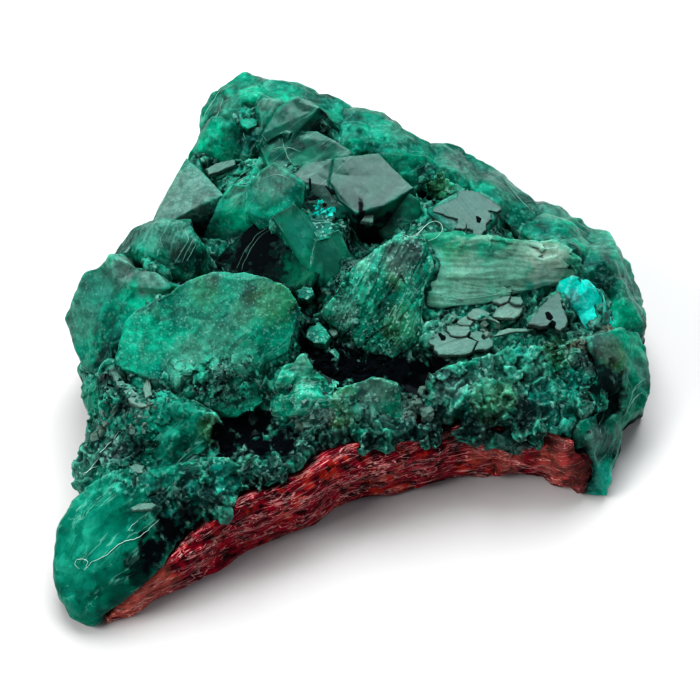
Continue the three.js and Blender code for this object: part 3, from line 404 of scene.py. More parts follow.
# Lengths are in millimetres. voxel is the size of a piece's mesh, rounding how many times it is smoothed,
# grain the direction that its ribs and fibres follow, inward and grow how far it is widened to meet its
# neighbours (allRound on every flank), flatBelow the height under which its relief fades, target how many
# triangles it is thinned to, and dimming the share kept of the painted shade in its hollows. A spot is its
# place in thousandths of the node's box across, along and up, its radius and its strength. Glow spots paint
# light shining through, shade spots paint shade, pale spots paint grey that is partly the crystal's own and
# partly painted sheen, and head spots paint a grey sheen on the level faces within them.
pieces = {
    "plateCrystal": {
        "node": "plate_crystal", "slot": "dioptase_frosted", "dimming": 0.35, "finish": "frosted",
        "voxel": 0.11, "grain": (0.8, 0.5, 0.25), "inward": 0.2, "rounding": 3,
        "relief": [
            {"kind": "hewn", "size": 3.6, "height": 0.6, "seed": 3},
            {"kind": "hewn", "size": 1.1, "height": 0.1, "seed": 5},
            {"kind": "facets", "size": 0.8, "height": 0.35, "seed": 9, "at": "broken"},
            {"kind": "swell", "size": 0.5, "height": 0.05, "seed": 7},
        ],
        "glow": [
            (150, 410, 590, 2.4, 0.45), (310, 290, 540, 2.2, 0.45), (480, 420, 660, 2, 0.5),
            (810, 480, 720, 1.6, 0.4), (610, 40, 160, 1, 0.9), (710, 70, 210, 1, 0.9),
            (680, 190, 330, 1.4, 0.5), (480, 190, 330, 1.6, 0.8), (630, 220, 360, 1.4, 0.7),
            (530, 740, 920, 2, 0.35), (820, 600, 830, 1.6, 0.35), (610, 190, 330, 1.6, 0.5),
            (250, 430, 640, 1.8, 0.5),
        ],
        "pale": [
            (460, 680, 860, 2.6, 0.35), (730, 730, 930, 2.6, 0.4), (610, 270, 520, 2, 0.45),
            (580, 220, 440, 1.6, 0.5), (410, 360, 610, 1.4, 0.7), (530, 450, 690, 1.6, 0.6),
            (660, 560, 780, 1.4, 0.5), (330, 290, 540, 1.2, 0.5), (570, 190, 340, 1.6, 0.7),
            (360, 190, 450, 1.2, 0.5), (620, 210, 350, 1.2, 0.35),
        ],
        "shade": [(530, 150, 290, 1.8, 0.2), (710, 670, 880, 0.9, 0.4)],
        "turq": [(280, 200, 460, 1.4, 0.25)],
        "olive": [(820, 650, 870, 1.8, 0.39), (480, 740, 910, 1.2, 0.28), (680, 570, 800, 1.2, 0.17)],
        "plum": [(570, 220, 360, 1, 0.5), (520, 830, 980, 0.8, 0.4)],
        "sugar": [(570, 190, 330, 1.6, 0.9), (680, 150, 290, 1.2, 0.8), (450, 150, 280, 1.1, 0.6)],
        "broken": [
            (330, 190, 410, 1.4, 0.8), (480, 190, 340, 1.8, 1), (620, 190, 340, 1.8, 1),
            (720, 250, 500, 1.2, 0.8),
        ],
        "raise": [(380, 200, 360, 1.4, 0.5), (530, 170, 310, 1.8, 0.7), (680, 240, 380, 1.6, 0.6)],
    },
    "edgeCrystal": {
        "node": "edge_crystal", "slot": "dioptase_glassy", "finish": "milky", "voxel": 0.11,
        "grain": (0.5, 1, 0.6), "rounding": 9,
        "relief": [
            {"kind": "hewn", "size": 3.0, "height": 0.5, "seed": 11},
            {"kind": "swell", "size": 1.6, "height": 0.08, "seed": 12},
        ],
        "glow": [
            (700, 570, 950, 1.7, 0.8), (500, 500, 840, 1.5, 0.5), (760, 550, 950, 1.2, 0.9),
            (570, 550, 880, 1.2, 0.7), (230, 490, 700, 2, 0.45),
        ],
        "pale": [
            (380, 790, 860, 2.2, 0.35), (120, 520, 620, 2, 0.45), (190, 730, 750, 1.8, 0.3),
            (520, 790, 950, 1.5, 0.9), (750, 670, 980, 1.6, 0.9),
        ],
        "shade": [
            (430, 190, 700, 2, 0.45), (270, 40, 590, 1.6, 0.4), (420, 380, 760, 1.8, 0.5),
            (380, 140, 670, 1.8, 0.6),
        ],
    },
    "shoulderCrystal": {
        "node": "shoulder_crystal", "slot": "dioptase_glassy", "finish": "milky", "voxel": 0.11,
        "grain": (0.4, 0.9, 0.3), "rounding": 8,
        "relief": [
            {"kind": "hewn", "size": 2.2, "height": 0.4, "seed": 21},
            {"kind": "striae", "size": 0.4, "height": 0.06, "seed": 22, "length": 8},
        ],
        "glow": [(400, 300, 810, 1.5, 0.8), (240, 290, 680, 1.2, 0.5), (400, 370, 840, 1.4, 0.6)],
        "pale": [
            (690, 540, 970, 1.6, 0.5), (160, 690, 750, 1.2, 0.4), (450, 610, 930, 1.6, 0.6),
            (660, 610, 980, 1.4, 0.5),
        ],
        "shade": [(820, 210, 760, 1.3, 0.6)],
    },
    "pyramidCrystal": {
        "node": "pyramid_crystal", "slot": "dioptase_glassy", "finish": "milky", "voxel": 0.085,
        "rounding": 1,
        "relief": [{"kind": "swell", "size": 0.9, "height": 0.03, "seed": 31}],
        "pale": [(400, 500, 930, 3, 0.75), (210, 280, 900, 2, 0.6)],
        "shade": [(710, 260, 790, 2, 0.5), (800, 100, 260, 1.4, 1), (710, 150, 490, 1.2, 0.9)],
        "raise": [(780, 200, 570, 1.6, 0.4)],
        "head": [(370, 370, 930, 4, 1)],
    },
    "apexCluster": {
        "node": "apex_cluster", "slot": "dioptase_glassy", "finish": "milky", "voxel": 0.11,
        "grain": (0.5, 0.8, 0.2), "rounding": 5,
        "relief": [
            {"kind": "hewn", "size": 2.0, "height": 0.36, "seed": 41},
            {"kind": "swell", "size": 0.8, "height": 0.06, "seed": 42},
        ],
        "glow": [
            (390, 650, 920, 1.4, 0.8), (600, 510, 840, 1.3, 0.6), (160, 120, 670, 1.8, 1),
            (830, 480, 760, 1.2, 0.6), (470, 340, 890, 0.9, 0.5), (410, 650, 920, 1.2, 0.8),
            (600, 670, 850, 1.2, 0.7), (70, 150, 620, 1.4, 0.5),
        ],
        "pale": [(220, 500, 900, 1.5, 0.4), (490, 430, 960, 1.1, 0.5), (460, 450, 970, 0.9, 0.8)],
        "shade": [(380, 140, 740, 1.6, 0.35), (330, 170, 780, 1.4, 0.5)],
    },
    "centreCluster": {
        "node": "centre_cluster", "slot": "dioptase_glassy", "finish": "glassy", "voxel": 0.085,
        "grain": (0.8, 0.6, 0.1), "allRound": True, "inward": 0.5, "rounding": 1,
        "relief": [
            {"kind": "hewn", "size": 2.4, "height": 0.12, "seed": 51},
            {"kind": "swell", "size": 0.6, "height": 0.01, "seed": 52},
        ],
        "pale": [
            (230, 890, 940, 1.6, 0.5), (730, 360, 900, 2.2, 0.6), (290, 950, 990, 0.8, 0.8),
            (210, 860, 920, 0.8, 0.6), (130, 760, 830, 0.8, 0.5),
        ],
        "shade": [
            (410, 880, 640, 1.3, 0.7), (600, 190, 800, 1.2, 0.5), (630, 150, 470, 1.5, 1),
            (560, 150, 190, 0.9, 0.8), (750, 170, 480, 1.2, 1), (570, 200, 500, 1.2, 1),
            (560, 170, 290, 1, 1),
        ],
        "glow": [(260, 560, 780, 1.2, 0.3)],
        "rust": [(620, 150, 430, 0.5, 0.8), (690, 150, 290, 0.45, 0.6)],
        "turq": [
            (430, 160, 610, 0.7, 1), (370, 120, 560, 0.5, 0.8), (460, 80, 520, 0.5, 0.6),
            (410, 120, 560, 1.2, 0.6), (380, 80, 520, 1, 0.5),
        ],
        "crumbs": [(410, 120, 560, 1.2, 0.35), (360, 110, 550, 0.4, 0.6), (470, 100, 540, 0.5, 0.6)],
        "head": [
            (730, 360, 900, 3.4, 0.95), (380, 360, 820, 2.6, 0.8), (430, 250, 770, 2, 0.7),
            (330, 650, 840, 2, 0.35),
        ],
    },
    "paleCrystals": {
        "node": "pale_crystals", "slot": "dioptase_glassy", "finish": "milky", "voxel": 0.085,
        "grain": (0.6, 0.8, 0.4), "allRound": True, "inward": 0.5, "rounding": 2,
        "relief": [{"kind": "hewn", "size": 2.0, "height": 0.2, "seed": 61}],
        "pale": [
            (790, 690, 940, 1.5, 0.6), (310, 580, 720, 1, 0.4), (670, 630, 880, 1.5, 0.6),
            (700, 650, 900, 1.6, 0.7),
        ],
        "glow": [(700, 390, 750, 1.4, 0.7), (290, 380, 590, 1.4, 1)],
        "head": [(700, 650, 900, 1.6, 0.9)],
    },
    "leaningPrism": {
        "node": "leaning_prism", "slot": "dioptase_glassy", "finish": "glassy", "voxel": 0.085,
        "grain": (0.5, -0.8, -0.4), "allRound": True, "inward": 0.35, "rounding": 1,
        "relief": [{"kind": "swell", "size": 1.4, "height": 0.02, "seed": 71}],
        "pale": [
            (310, 520, 820, 2, 0.3), (790, 180, 540, 1.3, 0.5), (720, 220, 590, 1.6, 0.6),
            (750, 250, 630, 1, 0.4), (750, 180, 540, 1.2, 0.4),
        ],
        "glow": [
            (310, 430, 740, 2.4, 0.6), (480, 190, 520, 1.6, 0.5), (720, 200, 570, 1.6, 0.9),
            (720, 200, 570, 1.4, 0.7),
        ],
        "head": [(280, 520, 820, 3, 0.6), (690, 220, 590, 2, 0.7)],
        "turq": [(350, 470, 790, 1.6, 0.35), (720, 180, 540, 1.4, 0.35)],
    },
    # its dark finish paints this crystal's flank in shade
    "darkCrystal": {
        "node": "dark_crystal", "slot": "dioptase_glassy", "finish": "dark", "voxel": 0.085,
        "grain": (0.5, 0.8, 0.4), "allRound": True, "inward": 0.5, "rounding": 2,
        "relief": [{"kind": "swell", "size": 1.0, "height": 0.05, "seed": 81}],
        "shade": [
            (430, 660, 760, 2.6, 1), (690, 700, 890, 2.2, 0.8), (190, 440, 510, 1.6, 1),
            (530, 290, 510, 1.4, 0.9),
        ],
        "glow": [(810, 320, 610, 1.3, 0.5), (860, 290, 600, 2, 1), (730, 120, 420, 1.4, 0.9)],
        "pale": [(640, 860, 970, 0.5, 0.5)],
    },
    "tealCrystal": {
        "node": "teal_crystal", "slot": "dioptase_glassy", "finish": "glassy", "voxel": 0.085,
        "allRound": True, "inward": 0.4, "rounding": 1,
        "relief": [{"kind": "swell", "size": 1.0, "height": 0.03, "seed": 91}],
        "glow": [(480, 300, 600, 1, 0.5), (350, 420, 650, 1.6, 0.6), (610, 120, 450, 1.2, 0.6)],
        "shade": [(220, 260, 480, 1.2, 0.5)],
    },
    "ridgeCluster": {
        "node": "ridge_cluster", "slot": "dioptase_glassy", "finish": "milky", "voxel": 0.11, "rounding": 7,
        "relief": [
            {"kind": "hewn", "size": 2.4, "height": 0.45, "seed": 101, "off": "level"},
            {"kind": "swell", "size": 1.0, "height": 0.08, "seed": 102},
        ],
        "glow": [
            (180, 830, 910, 1.8, 0.6), (60, 640, 920, 1.2, 0.6), (300, 560, 840, 1.4, 0.5),
            (170, 750, 920, 1.2, 0.5), (30, 650, 890, 1.4, 0.5),
        ],
        "pale": [
            (310, 810, 860, 1.6, 0.3), (640, 190, 990, 1.9, 0.55), (650, 570, 730, 1.5, 0.4),
            (820, 440, 680, 1.5, 0.3), (620, 160, 980, 2.6, 0.6), (580, 630, 760, 1.6, 0.6),
            (800, 530, 640, 1.6, 0.6), (50, 950, 880, 1, 0.4),
        ],
        "shade": [
            (430, 540, 720, 1, 0.6), (790, 170, 720, 1.3, 0.4), (540, 140, 980, 1, 0.5),
            (80, 870, 930, 0.8, 0.5), (190, 620, 760, 0.9, 0.5),
        ],
        "rust": [(450, 570, 720, 0.35, 0.7)],
        "level": [(620, 160, 980, 4, 1)],
    },
    "rightCluster": {
        "node": "right_cluster", "slot": "dioptase_glassy", "finish": "milky", "voxel": 0.11, "rounding": 7,
        "relief": [
            {"kind": "hewn", "size": 2.4, "height": 0.6, "seed": 111},
            {"kind": "hewn", "size": 0.9, "height": 0.14, "seed": 113},
            {"kind": "swell", "size": 1.0, "height": 0.08, "seed": 112},
        ],
        "pale": [
            (500, 670, 860, 1.8, 0.35), (790, 460, 740, 1.8, 0.35), (100, 900, 800, 2, 0.6),
            (590, 650, 830, 2, 0.5), (920, 350, 600, 1.6, 0.6), (800, 580, 720, 1.4, 0.6),
            (920, 230, 400, 1.4, 0.6), (220, 850, 900, 1.6, 0.7), (960, 290, 90, 1.2, 0.5),
            (570, 840, 740, 1.4, 0.5), (840, 290, 700, 1.4, 0.4), (280, 830, 890, 1.2, 0.7),
        ],
        "glow": [
            (360, 470, 990, 1.8, 0.4), (690, 90, 770, 1.6, 0.5), (460, 600, 910, 1.6, 0.7),
            (730, 230, 790, 1.6, 0.6), (730, 20, 680, 1.4, 0.5), (250, 640, 960, 1.2, 0.6),
            (750, 550, 770, 1.2, 0.5), (730, 100, 750, 2.2, 0.9), (260, 800, 900, 1.8, 0.8),
            (640, 720, 770, 1.4, 0.7),
        ],
        "shade": [
            (250, 640, 960, 1.6, 0.35), (570, 360, 900, 1.4, 0.35), (580, 470, 890, 1.2, 0.5),
            (70, 990, 800, 1.2, 0.5), (130, 700, 960, 1, 0.5), (370, 510, 980, 0.8, 0.5),
            (650, 320, 850, 1.2, 0.45), (510, 450, 930, 1.6, 0.4),
        ],
        "sink": [(580, 160, 840, 1.6, 0.7)],
        "turq": [(600, 120, 810, 1, 0.8)],
    },
    "striatedCrystal": {
        "node": "striated_crystal", "slot": "dioptase_frosted", "finish": "striated", "voxel": 0.1,
        "grain": (1, -0.08, 0), "inward": 0.3, "rounding": 2,
        "relief": [
            {"kind": "striae", "size": 0.6, "height": 0.07, "seed": 121, "length": 7},
            {"kind": "hewn", "size": 1.0, "height": 0.1, "seed": 124, "length": 3},
            {"kind": "facets", "size": 0.7, "height": 0.3, "seed": 125, "length": 1.5, "at": "broken"},
            {"kind": "hewn", "size": 3.4, "height": 0.35, "seed": 123, "length": 2},
        ],
        "glow": [(60, 580, 880, 1.8, 0.8), (30, 50, 510, 1.2, 0.5), (100, 190, 630, 2.2, 0.8)],
        "pale": [
            (260, 250, 670, 2, 0.55), (520, 320, 680, 2, 0.5), (750, 470, 770, 1.8, 0.55),
            (650, 530, 840, 1.6, 0.6), (750, 470, 770, 2, 0.9), (590, 490, 830, 1.4, 0.5),
            (80, 200, 630, 1.6, 0.4),
        ],
        "shade": [
            (450, 610, 950, 1.4, 0.3), (260, 660, 990, 1.2, 0.35), (450, 630, 960, 1.2, 0.35),
            (10, 740, 950, 1.2, 0.42), (130, 710, 960, 1.2, 0.42), (310, 690, 970, 1.2, 0.42),
            (590, 670, 960, 1.2, 0.42), (880, 380, 600, 1, 0.4), (910, 560, 800, 1, 0.4),
        ],
        "turq": [(770, 300, 460, 1.2, 0.7), (660, 250, 400, 0.8, 0.5), (770, 280, 530, 1.2, 0.9)],
        "olive": [(160, 560, 910, 1.2, 0.25)],
        "broken": [
            (750, 670, 910, 1.4, 0.8), (450, 670, 980, 1.4, 0.7), (190, 720, 960, 1.2, 0.5),
            (490, 200, 250, 1.2, 0.7), (910, 490, 740, 1.4, 0.5),
        ],
        "leaf": [
            (0, 730, 950, 1, 0.9), (60, 710, 960, 1, 0.85), (170, 720, 960, 1, 0.85),
            (280, 690, 970, 1, 0.85), (390, 700, 960, 1, 0.8), (530, 680, 970, 1, 0.75),
            (660, 680, 940, 0.9, 0.7), (800, 680, 890, 0.9, 0.7), (890, 590, 820, 1, 0.9),
            (930, 460, 690, 1, 0.9), (880, 350, 530, 0.9, 0.9), (10, 40, 510, 0.8, 0.7),
            (490, 670, 970, 1.1, 0.8), (620, 660, 950, 1.1, 0.8), (750, 640, 890, 1.1, 0.8),
            (850, 520, 790, 1.2, 0.8), (360, 700, 960, 1, 0.7), (720, 300, 370, 0.9, 0.5),
        ],
    },
    "fracturedCrystal": {
        "node": "fractured_crystal", "slot": "dioptase_frosted", "finish": "shattered", "voxel": 0.1,
        "grain": (0.45, 0.8, 0.4), "inward": 0.3, "rounding": 2,
        "relief": [
            {"kind": "hewn", "size": 2.4, "height": 0.7, "seed": 131},
            {"kind": "facets", "size": 1.6, "height": 0.14, "seed": 132, "length": 2.5},
            {"kind": "striae", "size": 0.5, "height": 0.1, "seed": 133, "length": 7},
        ],
        "glow": [
            (230, 290, 640, 1.8, 0.7), (290, 490, 870, 1.4, 0.5), (750, 320, 580, 1.4, 0.4),
            (140, 290, 640, 1.8, 0.6), (240, 410, 800, 1.4, 0.5), (210, 360, 750, 1.6, 0.6),
        ],
        "pale": [(620, 540, 870, 1.6, 0.45), (180, 230, 540, 1.2, 0.6), (360, 530, 900, 1, 0.6)],
        "shade": [(180, 140, 380, 1.2, 0.4), (620, 190, 460, 1.2, 0.4)],
        "turq": [(420, 530, 900, 0.8, 0.5)],
        "olive": [(660, 170, 410, 1.6, 0.28), (870, 160, 30, 1.2, 0.28), (620, 460, 780, 1, 0.5)],
        "plum": [(640, 550, 860, 1.3, 0.7), (770, 640, 900, 1, 0.7)],
        "sugar": [(230, 110, 340, 1.6, 0.6), (490, 30, 200, 1.6, 0.6), (180, 350, 730, 1, 0.4)],
    },
    "chrysocollaPatch": {
        "node": "chrysocolla_patch", "slot": "chrysocolla", "finish": "turquoise", "voxel": 0.1, "grow": 0.35,
        "inward": 0.1, "rounding": 2,
        "relief": [{"kind": "hewn", "size": 1.5, "height": 0.35, "seed": 141}],
        "rust": [(870, 430, 470, 0.4, 0.9), (910, 180, 240, 0.4, 0.9)],
        "plum": [(280, 470, 770, 0.7, 0.6)],
        "glow": [(670, 310, 490, 1, 0.8)],
        "shade": [(510, 610, 810, 0.5, 0.4)],
        "turq": [(330, 670, 890, 0.6, 0.5)],
    },
    "frontCluster": {
        "node": "front_cluster", "slot": "dioptase_granular", "finish": "shattered", "voxel": 0.1,
        "inward": 0.0, "rounding": 2,
        "relief": [{"kind": "hewn", "size": 0.9, "height": 0.24, "seed": 151}],
        "glow": [
            (150, 470, 620, 1.5, 0.5), (320, 390, 670, 0.9, 0.7), (560, 340, 620, 1.4, 0.5),
            (750, 490, 770, 1, 0.7), (300, 300, 700, 1.4, 0.6), (160, 580, 770, 1.4, 0.6),
            (600, 270, 470, 1.6, 0.6),
        ],
        "pale": [
            (750, 190, 220, 1.4, 0.4), (230, 710, 890, 0.9, 0.5), (680, 200, 300, 0.8, 0.8),
            (870, 410, 550, 1, 0.6), (570, 230, 400, 1, 0.6), (770, 410, 630, 1, 0.5),
        ],
        "plum": [(700, 200, 270, 0.7, 0.7), (740, 370, 570, 1.2, 0.6)],
        "olive": [(560, 240, 440, 1.2, 0.5)],
    },
    "endCrystal": {
        "node": "end_crystal", "slot": "dioptase_glassy", "finish": "milky", "voxel": 0.11,
        "grain": (0.3, 1, 0.5), "inward": 0.2, "rounding": 3,
        "relief": [
            {"kind": "hewn", "size": 2.0, "height": 0.4, "seed": 161},
            {"kind": "hewn", "size": 0.9, "height": 0.16, "seed": 162},
        ],
        "shade": [
            (550, 570, 510, 1.8, 0.5), (490, 330, 500, 1.6, 0.5), (520, 530, 520, 1.8, 0.6),
            (450, 290, 500, 2, 0.65), (700, 610, 590, 1.6, 0.5), (380, 350, 470, 1, 0.6),
            (460, 520, 760, 1.8, 0.9), (450, 530, 480, 1.6, 0.92), (520, 510, 500, 1.4, 0.85),
        ],
        "glow": [
            (730, 540, 500, 1.3, 0.7), (380, 60, 190, 1.6, 0.8), (820, 720, 620, 1.2, 0.5),
            (670, 590, 470, 1.2, 0.8), (700, 450, 390, 1.2, 0.8), (590, 320, 360, 1, 0.8),
            (830, 840, 680, 1.4, 0.7), (400, 90, 260, 1.6, 0.9),
        ],
        "pale": [
            (640, 320, 280, 1, 0.4), (110, 230, 470, 1, 0.5), (310, 60, 160, 1, 0.4),
            (910, 760, 550, 1.2, 0.6), (320, 200, 560, 0.8, 0.8), (320, 140, 410, 0.8, 0.7),
        ],
        "turq": [(400, 60, 170, 1.6, 0.7)],
        "plum": [(460, 740, 920, 1.4, 0.6)],
        "olive": [(530, 710, 870, 1.4, 0.6)],
        "leaf": [(730, 520, 470, 1.4, 0.8), (610, 360, 380, 1.2, 0.8)],
    },
    "dioptaseCrust": {
        "node": "dioptase_crust", "slot": "dioptase_granular", "finish": "granular", "voxel": 0.15,
        "grain": (0.75, 0.6, 0.25), "inward": 0.0, "rounding": 2,
        "target": 195000, "tones": {"size": 1.0, "amount": 1.2},
        "relief": [
            {"kind": "hewn", "size": 2.2, "height": 0.6, "seed": 171, "off": "soft"},
            {"kind": "facets", "size": 1.1, "height": 0.3, "seed": 173, "off": "soft"},
            {"kind": "facets", "size": 0.5, "height": 0.07, "seed": 174, "off": "soft"},
            {"kind": "striae", "size": 2.0, "height": 0.14, "seed": 177, "length": 3, "at": "soft"},
            {"kind": "striae", "size": 0.5, "height": 0.2, "seed": 179, "length": 5, "at": "fibrous"},
        ],
        "glow": [
            (215, 255, 677, 1.6, 0.6), (190, 301, 803, 1.5, 0.5), (66, 156, 522, 2.4, 0.8),
            (50, 84, 352, 2.6, 0.8), (92, 25, 225, 2.2, 0.7), (101, 98, 444, 2.4, 0.7),
            (124, 203, 602, 1.8, 0.5), (291, 200, 618, 1.6, 0.6), (86, 370, 654, 1.2, 0.5),
            (719, 374, 747, 1.8, 0.5), (787, 414, 761, 1.8, 0.5), (702, 334, 626, 1.4, 0.5),
            (855, 324, 508, 1.6, 0.4), (309, 791, 897, 1.4, 0.4), (340, 271, 605, 1.1, 0.8),
            (497, 376, 716, 1.6, 0.5), (534, 324, 623, 1.4, 0.4), (295, 788, 891, 1.8, 0.8),
            (326, 811, 933, 1.2, 0.7), (497, 340, 703, 1.6, 0.6), (669, 363, 662, 1.8, 0.7),
            (830, 389, 670, 1.6, 0.6), (677, 395, 750, 1.6, 0.5), (258, 198, 629, 0.9, 0.7),
            (224, 286, 773, 1.6, 0.5), (661, 761, 957, 1, 1), (762, 367, 707, 1.2, 0.5),
            (550, 309, 643, 1.4, 0.5), (97, 326, 723, 1.6, 0.5), (167, 133, 534, 1, 0.4),
            (873, 380, 605, 1.2, 0.8), (787, 399, 724, 1, 0.7), (46, 426, 530, 1.4, 0.5),
        ],
        "shade": [
            (163, 54, 267, 1.8, 0.45), (200, 101, 427, 2.2, 0.45), (225, 152, 546, 2, 0.5),
            (140, 256, 648, 1.6, 0.5), (375, 207, 696, 1.8, 0.5), (466, 410, 727, 2.4, 1),
            (525, 409, 676, 2.4, 1), (585, 419, 619, 2.2, 1), (636, 417, 576, 1.8, 1),
            (432, 466, 711, 1.8, 1), (538, 698, 645, 1.6, 1), (251, 695, 594, 1.4, 1),
            (652, 339, 588, 1.6, 0.7), (821, 348, 607, 1.8, 0.6), (363, 599, 797, 2.2, 0.9),
            (414, 577, 752, 2, 0.8), (263, 715, 603, 1.8, 1), (432, 505, 674, 1.4, 1),
            (491, 426, 697, 2.6, 1), (559, 422, 640, 2.6, 1), (616, 418, 593, 2.2, 1),
            (647, 434, 575, 1.6, 1), (500, 688, 636, 1.3, 1), (547, 705, 642, 1.6, 1),
            (192, 80, 371, 1.6, 0.45), (505, 697, 628, 1.4, 1), (264, 722, 602, 1.8, 1),
            (255, 696, 599, 1.4, 1), (804, 342, 616, 1.6, 0.8), (702, 314, 620, 1.4, 0.8),
            (291, 325, 592, 1.3, 1), (319, 319, 560, 1.4, 1), (354, 326, 518, 1.3, 1),
            (391, 293, 609, 1.2, 0.7), (436, 284, 644, 1.6, 0.55), (492, 300, 616, 1.2, 0.45),
            (576, 291, 663, 1.4, 0.45), (215, 247, 644, 1.4, 0.5), (96, 344, 737, 2, 0.4),
            (117, 179, 597, 1.5, 0.45), (104, 32, 254, 1.8, 0.55), (466, 272, 596, 1.2, 0.7),
            (534, 279, 604, 1.2, 0.7), (592, 282, 621, 1.1, 0.8), (652, 302, 560, 1, 0.7),
            (716, 306, 480, 1.2, 0.7), (821, 300, 455, 1.2, 0.7), (416, 235, 632, 1, 0.7),
            (358, 199, 649, 1, 0.6), (308, 187, 556, 1, 0.6), (262, 168, 602, 1.4, 0.85),
            (230, 147, 535, 1.3, 0.9), (197, 123, 479, 1.4, 0.95), (170, 88, 419, 1.3, 0.95),
            (147, 58, 338, 1.3, 0.8), (117, 32, 251, 1.3, 0.6), (183, 167, 572, 1.2, 0.7),
            (149, 206, 607, 1, 0.6), (300, 205, 614, 1, 0.7), (233, 215, 647, 1, 0.75),
            (333, 218, 630, 0.9, 0.7), (375, 225, 687, 0.9, 0.7), (85, 387, 681, 1.2, 0.75),
            (117, 326, 778, 1, 0.7), (75, 292, 567, 1, 0.6), (131, 258, 641, 1, 0.7),
            (116, 187, 598, 1.6, 0.35), (311, 691, 686, 0.8, 0.7), (295, 284, 591, 1.8, 1),
            (340, 271, 605, 1.7, 1), (387, 279, 629, 1.6, 1), (419, 296, 639, 1, 0.7),
            (492, 292, 599, 1.3, 0.75), (542, 297, 611, 1.3, 0.75), (592, 297, 644, 1.3, 0.75),
            (638, 308, 615, 1.3, 0.75), (689, 317, 612, 1.3, 0.75), (740, 329, 596, 1.3, 0.75),
            (795, 314, 586, 1.3, 0.75), (702, 348, 717, 0.9, 0.5), (619, 379, 609, 1, 0.6),
            (605, 349, 600, 0.9, 0.7),
        ],
        "pale": [
            (770, 362, 699, 1.6, 0.3), (670, 484, 727, 1.8, 0.6), (832, 522, 788, 1.6, 0.5),
            (891, 452, 726, 1.8, 0.4), (534, 335, 650, 1.6, 0.4), (117, 408, 567, 1, 0.6),
            (145, 326, 812, 1, 0.7), (912, 499, 538, 1.6, 0.4), (69, 318, 538, 1.2, 0.5),
            (114, 277, 651, 1.2, 0.4), (556, 706, 649, 0.4, 0.8), (605, 352, 607, 1.2, 0.6),
            (424, 303, 680, 1, 0.5), (492, 332, 690, 1.2, 0.5), (283, 775, 867, 1, 0.4),
            (703, 380, 716, 1.2, 0.5), (652, 360, 653, 1, 0.6), (787, 392, 706, 1.2, 0.5),
            (448, 317, 705, 0.9, 0.5), (904, 387, 564, 0.9, 0.7), (907, 359, 524, 0.8, 0.7),
            (882, 451, 733, 1.4, 0.6), (737, 401, 752, 1.3, 0.5), (813, 406, 722, 1.2, 0.5),
            (52, 247, 472, 1.2, 0.5),
        ],
        "druse": [
            (890, 421, 666, 2.4, 0.5), (87, 348, 719, 2, 0.8), (165, 326, 834, 2, 0.7),
            (131, 271, 682, 2.4, 0.6), (417, 459, 691, 3, 0.9), (500, 404, 700, 3, 0.6),
            (656, 762, 960, 1.4, 0.9),
        ],
        "rust": [(253, 682, 604, 0.35, 0.9), (941, 513, 568, 0.9, 0.35), (887, 460, 744, 0.8, 0.5)],
        "turq": [
            (291, 194, 609, 1.2, 0.39), (258, 169, 599, 0.8, 0.28), (855, 330, 530, 1.3, 0.33),
            (882, 396, 628, 1.2, 0.39), (789, 438, 800, 0.9, 0.39), (352, 275, 591, 0.8, 0.5),
            (203, 138, 507, 0.8, 0.5), (283, 216, 642, 0.8, 0.4), (242, 179, 598, 0.7, 0.6),
            (490, 696, 642, 0.8, 0.6), (821, 372, 648, 1.2, 0.4),
        ],
        "plum": [
            (677, 376, 704, 1.1, 0.6), (610, 344, 583, 1.3, 0.8), (941, 513, 568, 1.4, 0.5),
            (331, 317, 546, 1.4, 0.6), (97, 265, 600, 1.2, 0.5), (458, 317, 693, 0.9, 0.6),
            (605, 346, 593, 1, 0.5), (908, 448, 693, 1.4, 0.7), (910, 453, 701, 1.2, 0.5),
            (530, 336, 656, 1, 0.6), (559, 333, 616, 0.9, 0.6), (665, 379, 711, 1.1, 0.55),
        ],
        "olive": [
            (736, 349, 715, 1.6, 0.33), (856, 447, 753, 1.6, 0.28), (656, 762, 960, 1, 0.44),
            (265, 285, 717, 1, 0.4), (661, 761, 957, 1, 0.5), (483, 319, 670, 1.2, 0.5),
            (761, 360, 707, 1.2, 0.5),
        ],
        "chips": [
            (93, 324, 710, 0.6, 0.4), (79, 298, 593, 0.6, 0.4), (165, 318, 822, 0.6, 0.5),
            (149, 288, 759, 0.8, 0.5), (421, 319, 718, 1, 0.5), (610, 350, 596, 1.2, 0.6),
            (629, 497, 550, 0.7, 0.5), (739, 495, 727, 0.8, 0.5),
        ],
        "cave": [
            (263, 715, 603, 1.6, 1), (542, 703, 640, 2, 1), (466, 410, 727, 3, 1), (534, 410, 667, 3, 1),
            (610, 417, 598, 2.6, 1), (423, 547, 685, 1.6, 1), (635, 763, 948, 1, 0.8),
            (301, 315, 581, 1.6, 1), (344, 320, 530, 1.3, 1), (385, 304, 547, 1.3, 0.8),
        ],
        "soft": [
            (70, 83, 381, 6.6, 1), (191, 267, 737, 4.2, 0.7), (320, 344, 556, 1.8, 0.8),
            (54, 388, 528, 1.8, 0.7),
        ],
        "fibrous": [(297, 788, 891, 2.6, 1)],
        "raise": [
            (652, 339, 588, 1.4, 0.7), (653, 483, 723, 1.3, 0.12), (691, 471, 716, 1.3, 0.12),
            (713, 503, 740, 1.3, 0.12), (756, 518, 744, 1.3, 0.12), (787, 545, 760, 1.2, 0.12),
        ],
        "sink": [(780, 304, 420, 1.8, 0.5)],
        "leaf": [(58, 373, 525, 1.8, 0.5)],
    },
    "matrixRock": {
        "node": "matrix_rock", "slot": "matrix_rock", "finish": "rock", "voxel": 0.15, "grain": "front",
        "inward": 0.0, "rounding": 1,
        "target": 190000, "flatBelow": 0.25, "grow": 0.05,
        "relief": [
            {"kind": "striae", "size": 1.2, "height": 0.2, "seed": 181, "length": 4},
            {"kind": "striae", "size": 0.5, "height": 0.1, "seed": 182, "length": 6},
            {"kind": "hewn", "size": 2.4, "height": 0.4, "seed": 183},
        ],
        "shade": [
            (650, 480, 950, 2, 1), (960, 300, 370, 1.2, 0.6), (950, 290, 290, 1.1, 0.6),
